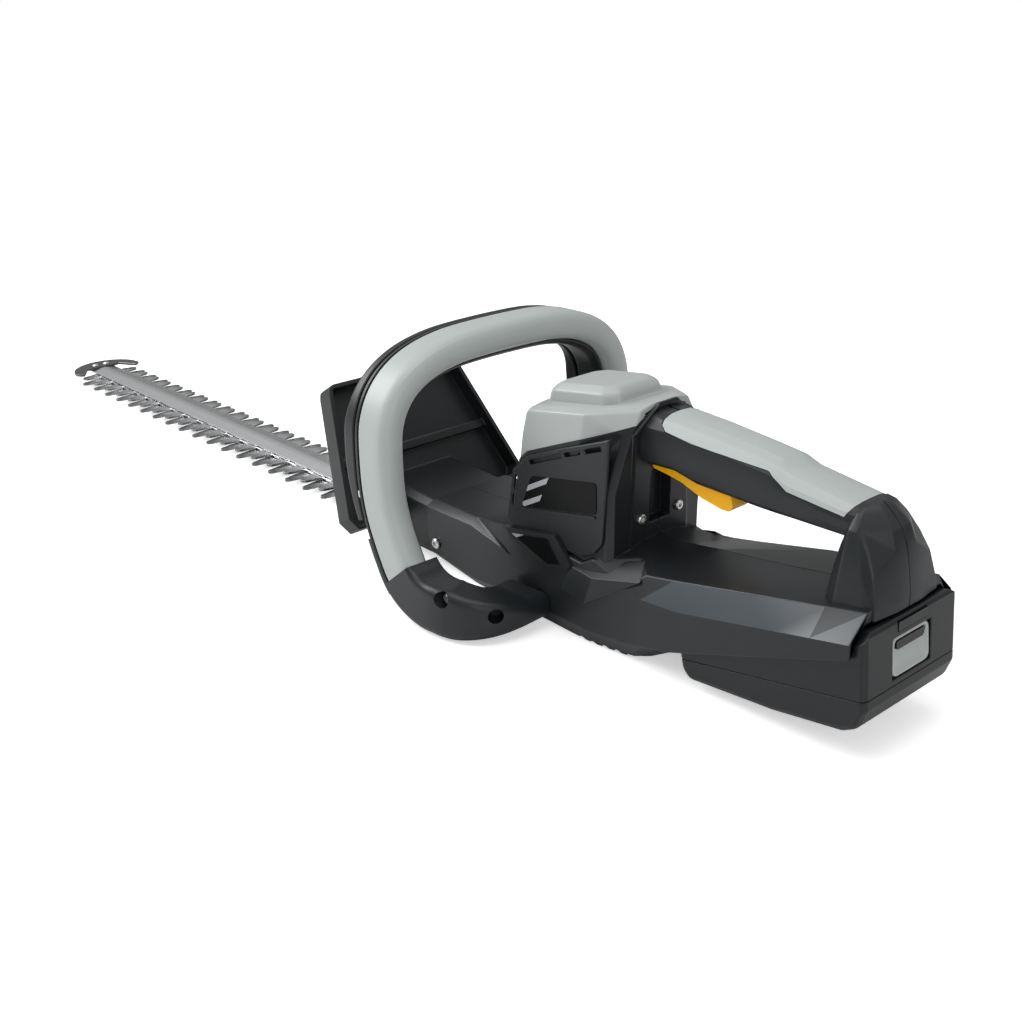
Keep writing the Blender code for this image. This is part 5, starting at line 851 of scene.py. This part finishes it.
def handle_bar(name, first, last, section, side=0):
    """Sweep a section along the handle: both halves, or one side only."""
    def ring(step, point, rearward, outward, mirror):
        made = [point + rearward * u + outward * v for u, v in section(step)]
        return [at(p.x, -p.y if mirror else p.y, p.z) for p in made]

    stretch = [f for f in handle_frames() if first - 1e-6 <= f[0] <= last + 1e-6]
    if side:
        return skin([ring(*f, side < 0) for f in stretch], name)
    return skin([ring(*f, True) for f in reversed(stretch[1:])]
                + [ring(*f, False) for f in stretch], name)


def grip_section(step):
    """The soft grip's cut: flat faces and broad soft corners round a hollow for the strip."""
    front, high, half = 0.3 - GRIP_DEPTH, GRIP_DEPTH, BAR_HALF
    outline = [(front, half - 2), (front + 2, half), (high - 4.5, half), (high, half - 4.5),
               (high, -1.0), (high - 5.0, -6.2), (front, -6.2)]
    return softened(outline, (0.8, 1.4, 5, 5, 5, 4, 0.6))


def lever_section(step):
    """The lever's cut, which grows down the sides and runs out at its ends."""
    back = -GRIP_DEPTH - LEVER_GAP
    swell = min(step / SWELL_END, 1.0)
    depth = LEVER_DEPTH + LEVER_SWELL * swell ** 2 - LEVER_TAPER * max(step - TAPER_START, 0)
    half = BAR_HALF - 1
    outline = [(back - depth, half), (back, half), (back, -half), (back - depth, -half)]
    return softened(outline, (3.4, 1.2, 1.2, 3.4), 6)


def spine_plate_section(step):
    """The backbone's thin plate before the grip, with its strip inside the handle."""
    front, half = -GRIP_DEPTH, BAR_HALF - 0.5
    outline = [(front - 2.5, half), (front, half), (front, -6.5), (4.5, -6.5), (4.5, -8.0),
               (1.0, 0.6 - half), (front - 2.5, 0.6 - half)]
    return softened(outline, (0.7, 0.3, 0.2, 0.8, 1.2, 2.5, 1.5), 3)


def elbow_section(step):
    """The arm's cut, tall at the elbow and long where it meets the body."""
    last = len(ARM_STATIONS) + 9
    swell = min(max(step - GRIP_END, 0) / ELBOW_SPAN, 1.0)
    share = min(FOOT_HASTE * max(step - last + FOOT_SPAN, 0) / FOOT_SPAN, 1.0)
    low, high = (start + (elbow - start) * swell + (foot - elbow) * share
                 for start, elbow, foot in zip(*ARM_REACH))
    half = BAR_HALF + FOOT_SPREAD * share
    outline = [(low, half), (high, half), (high, -half), (low, -half)]
    return softened(outline, [3.0 + 4.0 * swell] * 4, 6)


def bulge_section(step):
    """The part of the arm that stands before the grip, below the lever."""
    front, half = -GRIP_DEPTH, BAR_HALF - 0.3
    outline = [(front - 6, half), (front - 1, half), (front - 1, -half), (front - 6, -half)]
    return softened(outline, (3.0, 0.4, 0.4, 3.0), 6)


def drum(name, place, radius, depth, axis, steps=28):
    """A plain round tool for cutting, that starts at a place and runs along an axis."""
    turn = Vector(axis).to_track_quat("Z", "Y").to_matrix()
    rings = []
    for run in (0, depth):
        rings.append([place + turn @ Vector((radius * math.cos(a), radius * math.sin(a), run))
                      for a in (math.tau * i / steps for i in range(steps))])
    return skin(rings, name)


def combined(obj, tool, operation):
    """Cut or join one piece with another, and clear the other away."""
    step = obj.modifiers.new("shape", "BOOLEAN")
    step.operation = operation
    step.solver = "EXACT"
    step.object = tool
    applied(obj)
    discard(tool)


class TRIMMER_OT_build_front_handle(bpy.types.Operator):
    """Build the front handle: backbone, arms with their screw wells, soft grip and lever"""
    bl_idname = "trimmer.build_front_handle"
    bl_label = "Build Front Handle"

    def execute(self, context):
        grip = handle_bar("front_grip_shell", 0, GRIP_END, grip_section)
        lever = handle_bar("front_lever_bar", 0, LEVER_END, lever_section)
        spine = handle_bar("handle_spine", 0, GRIP_END + 0.6, spine_plate_section)
        for piece, angle in ((grip, 38), (lever, 40), (spine, 35)):
            smoothed(piece, angle)
        settle(grip, "grip", "front_handle_grip")
        settle(lever, "guard", "front_switch_lever")
        settle(spine, "guard", "front_handle_frame")
        for side, word in ((1, "left"), (-1, "right")):
            arm = handle_bar(f"handle_arm_{word}", GRIP_END, len(ARM_STATIONS) + 8.6,
                             elbow_section, side)
            bulge = handle_bar("bulge", LEVER_END + 0.8, GRIP_END + 0.4, bulge_section, side)
            combined(arm, bulge, "UNION")
            for (x, y, z), radius, (ahead, out, up) in SCREW_WELLS:
                well = drum("well", at(x, side * y, z), radius * MM, 40 * MM,
                            (ahead, side * out, up))
                combined(arm, well, "DIFFERENCE")
            smoothed(arm, 32)
            settle(arm, "body", "front_handle_frame")
        return {"FINISHED"}


# ---------------------------------------------------------------- screws

SCREW_TREE = "Star Screws"
SCREW_HEIGHT, SCREW_SUNK = 2.0 * MM, 0.75 * MM      # of a head, and how deep its middle sits
HEAD_SIDES, CHAMFER_TOP, CHAMFER_HEIGHT = 36, 0.74, 0.35    # the last two in shares of the head
CHAMFER_LIFT = 0.499        # of the head's height, just short of its top, so that they overlap
STAR_INNER, STAR_OUTER = 0.36, 0.54                 # radii of the recess, in shares of the head's
SCREW_SETS = {
    # piece: solids, finish, which way the heads face
    "handle_screws_left": (("handle_screw_left",), "screw", (0, 1, 0)),
    "handle_screws_right": (("handle_screw_right",), "screw", (0, -1, 0)),
    "guard_screws_left": (("guard_screw_left",), "screw", (0, 1, 0)),
    "guard_screws_right": (("guard_screw_right",), "screw", (0, -1, 0)),
    "body_screws": (tuple(f"housing_screw_{i}" for i in range(1, 6)), "dark screw", (0, 1, 0)),
}
# Two smaller screws in the rear face of the tower, where the solids have none.
LEG_SCREWS = [(at(-73.9, side * 15.2, 68), (-1, 0, 0)) for side in (1, -1)]


def screw_inputs():
    """An empty tree for the screw heads, with its inputs and a mesh going through it."""
    tree = bpy.data.node_groups.new(SCREW_TREE, "GeometryNodeTree")
    tree.is_modifier = True
    for direction in ("INPUT", "OUTPUT"):
        tree.interface.new_socket("Geometry", in_out=direction,
                                  socket_type="NodeSocketGeometry")
    for label, kind, value in (("Head Radius", "Float", 3.4 * MM),
                               ("Head Height", "Float", SCREW_HEIGHT),
                               ("Star Points", "Int", 6), ("Finish", "Material", None)):
        socket = tree.interface.new_socket(label, in_out="INPUT",
                                           socket_type=f"NodeSocket{kind}")
        if value:
            socket.default_value = value
    return tree, node(tree, "NodeGroupInput", -900).outputs


def screw_tree():
    """Screw heads on every point: a chamfered round head with a star-shaped driver recess."""
    tree, given = screw_inputs()
    radius, height = given["Head Radius"], given["Head Height"]

    def share(output, amount):
        return maths(tree, "MULTIPLY", output, amount)

    head = node(tree, "GeometryNodeMeshCylinder", -650, 200, Vertices=HEAD_SIDES,
                Radius=radius, Depth=height)
    chamfer = node(tree, "GeometryNodeMeshCone", -650, -150, Vertices=HEAD_SIDES,
                   Radius_Bottom=radius, Radius_Top=share(radius, CHAMFER_TOP),
                   Depth=share(height, CHAMFER_HEIGHT))
    lift = node(tree, "ShaderNodeCombineXYZ", -650, -400, Z=share(height, CHAMFER_LIFT))
    raised = node(tree, "GeometryNodeTransform", -400, -150, Geometry=chamfer.outputs["Mesh"],
                  Translation=lift.outputs[0])
    star = node(tree, "GeometryNodeCurveStar", -650, -600, Points=given["Star Points"],
                Inner_Radius=share(radius, STAR_INNER), Outer_Radius=share(radius, STAR_OUTER))
    face = node(tree, "GeometryNodeFillCurve", -450, -600, Curve=star.outputs["Curve"])
    up = node(tree, "ShaderNodeCombineXYZ", -450, -800, Z=1.0)
    deep = node(tree, "GeometryNodeExtrudeMesh", -250, -600, Individual=False,
                Mesh=face.outputs["Mesh"], Offset=up.outputs[0], Offset_Scale=height)
    under = node(tree, "GeometryNodeFlipFaces", -250, -800, Mesh=face.outputs["Mesh"])
    tool = node(tree, "GeometryNodeJoinGeometry", -80, -600,
                Geometry=[under.outputs["Mesh"], deep.outputs["Mesh"]])
    welded = node(tree, "GeometryNodeMergeByDistance", 60, -600, Geometry=tool.outputs[0],
                  Distance=0.001 * MM)
    body = node(tree, "GeometryNodeMeshBoolean", 60, 0, operation="UNION", solver="EXACT",
                Mesh_2=[head.outputs["Mesh"], raised.outputs[0]])
    bored = node(tree, "GeometryNodeMeshBoolean", 260, 0, operation="DIFFERENCE",
                 solver="EXACT", Mesh_1=body.outputs["Mesh"], Mesh_2=welded.outputs[0])
    facing = node(tree, "GeometryNodeInputNamedAttribute", 0, 300, data_type="FLOAT_VECTOR",
                  Name="facing")
    turn = node(tree, "FunctionNodeAlignRotationToVector", 200, 300, axis="Z",
                Vector=facing.outputs["Attribute"])
    placed = node(tree, "GeometryNodeInstanceOnPoints", 450, 100, Points=given["Geometry"],
                  Instance=bored.outputs["Mesh"], Rotation=turn.outputs[0])
    real = node(tree, "GeometryNodeRealizeInstances", 600, 100,
                Geometry=placed.outputs["Instances"])
    dressed = node(tree, "GeometryNodeSetMaterial", 750, 100, Geometry=real.outputs[0],
                   Material=given["Finish"])
    node(tree, "NodeGroupOutput", 900, 0, Geometry=dressed.outputs[0])
    return tree


def screw_heads(name, places, look, radius, height, body):
    """Put a screw head on every place, facing its direction, and tie them to a body."""
    tree = bpy.data.node_groups.get(SCREW_TREE) or screw_tree()
    mesh = bpy.data.meshes.new(name)
    mesh.from_pydata([place for place, _ in places], [], [])
    facing = mesh.attributes.new("facing", "FLOAT_VECTOR", "POINT")
    for i, (_, direction) in enumerate(places):
        facing.data[i].vector = direction
    piece = linked(name, mesh)
    step = piece.modifiers.new("screw heads", "NODES")
    step.node_group = tree
    values = {"Head Radius": radius, "Head Height": height, "Finish": finish(look)}
    for item in tree.interface.items_tree:
        if item.name in values:
            step[item.identifier] = values[item.name]
    applied(piece)
    smoothed(piece, 30)
    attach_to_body(piece, body)


class TRIMMER_OT_build_screws(bpy.types.Operator):
    """Build the star-drive screw heads over the carried-over screws"""
    bl_idname = "trimmer.build_screws"
    bl_label = "Build Screws"

    def execute(self, context):
        radius = context.scene.trimmer_sizes.screw_head
        for name, (solids, look, facing) in SCREW_SETS.items():
            places = []
            for solid in solids:
                low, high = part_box(solid)
                place = (low + high) / 2
                place.y = (high if facing[1] > 0 else low).y - facing[1] * SCREW_SUNK
                places.append((place, facing))
            body = body_of(frame["nodes"][solids[0]])[0]
            screw_heads(name, places, look, radius, SCREW_HEIGHT, body)
        screw_heads("leg_screws", LEG_SCREWS, "screw", 0.9 * radius, 0.8 * SCREW_HEIGHT,
                    "housing")
        return {"FINISHED"}


# ---------------------------------------------------------------- labels and latch

PLATE_EDGE, EDGE_SHARE = 0.25, 0.6      # how far a plate's rim draws in, in mm, and over how much


def slab(name, outline, low, high, radius=2.0, plane="XZ"):
    """A thin plate with softened corners, from an outline in mm and its two levels."""
    points = softened(outline, [radius] * len(outline), 5)
    middle = sum(points, Vector((0, 0))) / len(points)
    rings = []
    for level, inset in ((low, 0), (high - EDGE_SHARE * (high - low), 0), (high, PLATE_EDGE)):
        ring = []
        for point in points:
            u, v = point + (middle - point).normalized() * inset
            ring.append(at(u, level, v) if plane == "XZ" else at(level, u, v))
        rings.append(ring)
    return skin(rings, name)


LABELS = {
    # piece: outline from the side in mm, inner and outer level, corner radius, finish
    "side_label": ([(-10, 84), (-64, 94), (-64, 75), (-1, 63)], 40.0, 40.75, 3.0, "label"),
    "label_ledge": ([(0, 62), (-63, 74), (-63.4, 72.4), (-0.4, 60)], 40.0, 41.1, 0.7, "body"),
    "badge_tab": ([(12, 46), (-31, 54), (-45, 38.5), (-41, 34), (-24, 31), (9, 41)],
                  40.0, 42.7, 1.5, "body"),
    "badge_plate": ([(6.5, 43.8), (-25, 49.8), (-35.5, 36.6), (-24.5, 33.6)],
                    42.6, 43.1, 1.0, "label"),
}

# The body flares out below the tower and ends in a step: its corners in mm, one side.
FLARE = [(-36.3, 43.2, 21.5), (-58.8, 46.5, 21.0), (-64.5, 45.0, 38.1), (-90.1, 29.0, 52.1),
         (-96.3, 39.6, 44.4), (-43.6, 41.9, 38.0), (-45.0, 36.0, 25.0), (-80.0, 34.0, 38.0),
         (-92.0, 28.0, 42.0), (-55.0, 33.0, 42.0)]


def faceted(name, corners, width):
    """A solid block with flat sides and lightly rounded edges round a set of corners in mm."""
    bm = bmesh.new()
    for corner in corners:
        bm.verts.new(at(*corner))
    made = bmesh.ops.convex_hull(bm, input=bm.verts[:])
    spare = [v for v in made["geom_interior"] + made["geom_unused"]
             if isinstance(v, bmesh.types.BMVert)]
    bmesh.ops.delete(bm, geom=list(set(spare)), context="VERTS")
    bmesh.ops.recalc_face_normals(bm, faces=bm.faces[:])
    return rounded_mesh(bm, name, width * MM, smooth_angle=20, corner_angle=12.0)


class TRIMMER_OT_build_labels(bpy.types.Operator):
    """Build what lies on the body's sides: blank label plates, a ledge, a tab and the flare"""
    bl_idname = "trimmer.build_labels"
    bl_label = "Build Labels"

    def execute(self, context):
        for side, word in ((1, "left"), (-1, "right")):
            for name, (outline, low, high, radius, look) in LABELS.items():
                piece = slab(f"{name}_{word}", outline, side * low, side * high, radius)
                smoothed(piece, 30)
                attach(piece, look, "housing")
            flare = faceted(f"foot_flare_{word}", [(x, side * y, z) for x, y, z in FLARE], 0.5)
            attach(flare, "body", "housing")
        return {"FINISHED"}


LATCH_HALF, LATCH_LOW, LATCH_HIGH = 15.4, 34.1, 54.7    # mm
LATCH_BACK, LATCH_FACE = -232.3, -239.2
LATCH_FOOT, LATCH_RISE, LATCH_LEAN = 34.0, 20.7, 2.2    # the face leans this far over its rise
SCOOP_FOOT = 0.35           # share of its full depth that the scoop has at its foot
LATCH_RINGS = [
    # mm in from the rim and mm deep, from the rim down into the scoop
    (0, 0.7), (0.25, 0.2), (0.8, 0), (1.5, 0.05), (1.9, 0.5), (2.2, 1.6), (2.8, 2.6),
    (4.5, 3.4), (7.0, 3.8),
]
LATCH_WINDOW = [(-11.5, 47.4), (11.5, 47.4), (12.4, 52.3), (-12.4, 52.3)]


def latch_outline(inset):
    """A softened rectangle round the latch's face, drawn in by an inset."""
    half, low, high = LATCH_HALF - inset, LATCH_LOW + inset, LATCH_HIGH - inset
    outline = [(-half, low), (half, low), (half, high), (-half, high)]
    return softened(outline, [max(4.5 - inset, 0.8)] * 4, 6)


def latch_ring(inset, depth):
    """One ring of the latch's leaning face, whose scoop is deepest at the top."""
    ring = []
    for y, z in latch_outline(inset):
        rise = (z - LATCH_FOOT) / LATCH_RISE
        sunk = depth * (SCOOP_FOOT + (1 - SCOOP_FOOT) * rise) if depth > 1 else depth
        ring.append(at(LATCH_FACE + LATCH_LEAN * rise + sunk, y, z))
    return ring


class TRIMMER_OT_build_latch(bpy.types.Operator):
    """Build the battery latch: a pale frame round a finger scoop and a dark window"""
    bl_idname = "trimmer.build_latch"
    bl_label = "Build Latch"

    def execute(self, context):
        back = [at(LATCH_BACK, y, z) for y, z in latch_outline(0)]
        latch = skin([back] + [latch_ring(*step) for step in LATCH_RINGS], "latch_scoop")
        smoothed(latch, 50)
        settle(latch, "latch", "battery_latch")
        window = slab("latch_window", LATCH_WINDOW, -234.0, -237.3, 1.4, plane="YZ")
        smoothed(window, 30)
        attach(window, "window", "battery_latch")
        return {"FINISHED"}


# ---------------------------------------------------------------- studio

# The camera's place in metres, and where its right, its up and its back point.
CAMERA_PLACE = (-0.76265, 0.4864, 0.34955)
CAMERA_RIGHT = (-0.65242, -0.75699, -0.03615)
CAMERA_UP = (0.26719, -0.27440, 0.92375)
CAMERA_BACK = (-0.70919, 0.59302, 0.38129)
LAMPS = [
    # name, place, what it points at, size, and the setting that holds its power
    ("side lamp", (0.86, 0.66, 0.86), (-0.2, 0, 0.06), (0.8, 0.8), "key_power"),
    ("top lamp", (-0.35, 0.1, 1.3), (-0.2, 0, 0.05), (1.2, 0.8), "top_power"),
    ("fill lamp", (-1.5, 0.7, 0.55), (-0.2, 0, 0.05), (0.9, 0.7), "fill_power"),
]
SKY_RISE, SKY_LIGHT = (0.05, 0.6), (0.22, 1.0)      # between these heights, light from and to
FLOOR_RADIUS = 1.8          # metres
FLOOR_GLOW = 0.5            # light of its own, which only the camera sees


def area_lamp(name, place, target, size, power):
    """A soft oblong lamp that points at a target."""
    data = bpy.data.lights.new(name, "AREA")
    data.shape = "RECTANGLE"
    data.size, data.size_y = size
    data.energy = power
    lamp = linked(name, data)
    lamp.location = place
    away = Vector(place) - Vector(target)
    lamp.rotation_euler = away.to_track_quat("Z", "Y").to_euler()


def add_camera(scene, lens):
    """The camera that looks at the trimmer from behind its left side."""
    data = bpy.data.cameras.new("camera")
    data.lens = lens
    data.sensor_width = 36.0
    camera = linked("camera", data)
    turn = Matrix((CAMERA_RIGHT, CAMERA_UP, CAMERA_BACK)).transposed().to_4x4()
    camera.matrix_world = Matrix.Translation(CAMERA_PLACE) @ turn
    scene.camera = camera


def add_world(scene, strength):
    """Even light all round, a white backdrop for the camera and a graded sky in reflections."""
    world = bpy.data.worlds.new("studio")
    world.use_nodes = True
    scene.world = world
    tree = world.node_tree
    tree.nodes.clear()
    soft = node(tree, "ShaderNodeBackground", -100, -100, Strength=strength)
    white = node(tree, "ShaderNodeBackground", -100, 100, Color=(1, 1, 1))
    direction = node(tree, "ShaderNodeTexCoord", -1300, 300).outputs["Generated"]
    height = split_place(tree, direction, 300)["Z"]
    sky = node(tree, "ShaderNodeBackground", -100, 300,
               Strength=ranged(tree, height, *SKY_LIGHT, *SKY_RISE))
    seen = node(tree, "ShaderNodeLightPath", -300, 500)
    mirrored = maths(tree, "MAXIMUM", seen.outputs["Is Glossy Ray"],
                     seen.outputs["Is Transmission Ray"])
    last = soft.outputs[0]
    for share, light in ((mirrored, sky), (seen.outputs["Is Camera Ray"], white)):
        mix = node(tree, "ShaderNodeMixShader", 150)
        for socket, output in zip(mix.inputs, (share, last, light.outputs[0])):
            feed(tree, socket, output)
        last = mix.outputs[0]
    node(tree, "ShaderNodeOutputWorld", 400, Surface=last)


def floor_material(colour):
    """Matt pale paper, lifted towards white only where the camera sees it."""
    made, tree, shader = blank_material("pale floor", 0.9)
    fibres = noise(tree, object_place(tree), 60.0, 4.0)
    tone = mixed_colour(tree, ranged(tree, fibres, 0, 1), [c * 0.99 for c in colour], colour)
    feed(tree, shader.inputs["Base Color"], tone)
    seen = node(tree, "ShaderNodeLightPath", -600, 300).outputs["Is Camera Ray"]
    glow = node(tree, "ShaderNodeEmission", -100, -300,
                Strength=maths(tree, "MULTIPLY", seen, FLOOR_GLOW))
    total = node(tree, "ShaderNodeAddShader", 200)
    for socket, light in zip(total.inputs, (shader, glow)):
        feed(tree, socket, light.outputs[0])
    feed(tree, tree.nodes["Material Output"].inputs["Surface"], total.outputs[0])
    return made


class TRIMMER_OT_build_stage(bpy.types.Operator):
    """Set up the camera, the lamps, the pale floor and the white surroundings"""
    bl_idname = "trimmer.build_stage"
    bl_label = "Build Stage"

    def execute(self, context):
        scene = context.scene
        settings = scene.trimmer_stage
        add_camera(scene, settings.lens)
        for name, place, target, size, power in LAMPS:
            area_lamp(name, place, target, size, getattr(settings, power))
        add_world(scene, settings.world_light)
        bpy.ops.mesh.primitive_circle_add(vertices=96, radius=FLOOR_RADIUS, fill_type="NGON")
        floor = context.active_object
        floor.name = "floor"
        floor.data.materials.append(floor_material(settings.floor))
        scene.view_settings.view_transform = "Standard"
        return {"FINISHED"}


# ---------------------------------------------------------------- sidebar

OPERATORS = [
    TRIMMER_OT_build_stage, TRIMMER_OT_paint_solids, TRIMMER_OT_build_shells,
    TRIMMER_OT_build_front_handle, TRIMMER_OT_build_screws, TRIMMER_OT_build_labels,
    TRIMMER_OT_build_latch,
]


class TRIMMER_PT_sidebar(bpy.types.Panel):
    """Buttons and settings for the trimmer's pieces"""
    bl_idname = "TRIMMER_PT_sidebar"
    bl_label = "Hedge Trimmer"
    bl_space_type = "VIEW_3D"
    bl_region_type = "UI"
    bl_category = "Trimmer"

    def draw(self, context):
        for title, group in (("Colours", context.scene.trimmer_colours),
                             ("Sizes", context.scene.trimmer_sizes),
                             ("Stage", context.scene.trimmer_stage)):
            box = self.layout.box()
            box.label(text=title)
            for key in group.__annotations__:
                box.prop(group, key)
        for operator in OPERATORS:
            self.layout.operator(operator.bl_idname)


GROUPS = [("trimmer_colours", TrimmerColours), ("trimmer_sizes", TrimmerSizes),
          ("trimmer_stage", StageSettings)]


def register():
    for name, group in GROUPS:
        bpy.utils.register_class(group)
        setattr(bpy.types.Scene, name, bpy.props.PointerProperty(type=group))
    for made in OPERATORS + [TRIMMER_PT_sidebar]:
        bpy.utils.register_class(made)


def unregister():
    for made in reversed(OPERATORS + [TRIMMER_PT_sidebar]):
        bpy.utils.unregister_class(made)
    for name, group in reversed(GROUPS):
        delattr(bpy.types.Scene, name)
        bpy.utils.unregister_class(group)


def call_operator(idname):
    """Run one of the add-on's operators by its name."""
    section, name = idname.split(".")
    getattr(getattr(bpy.ops, section), name)()


def main():
    """Build everything in order."""
    register()
    for operator in OPERATORS:
        call_operator(operator.bl_idname)


if __name__ == "__main__":
    main()
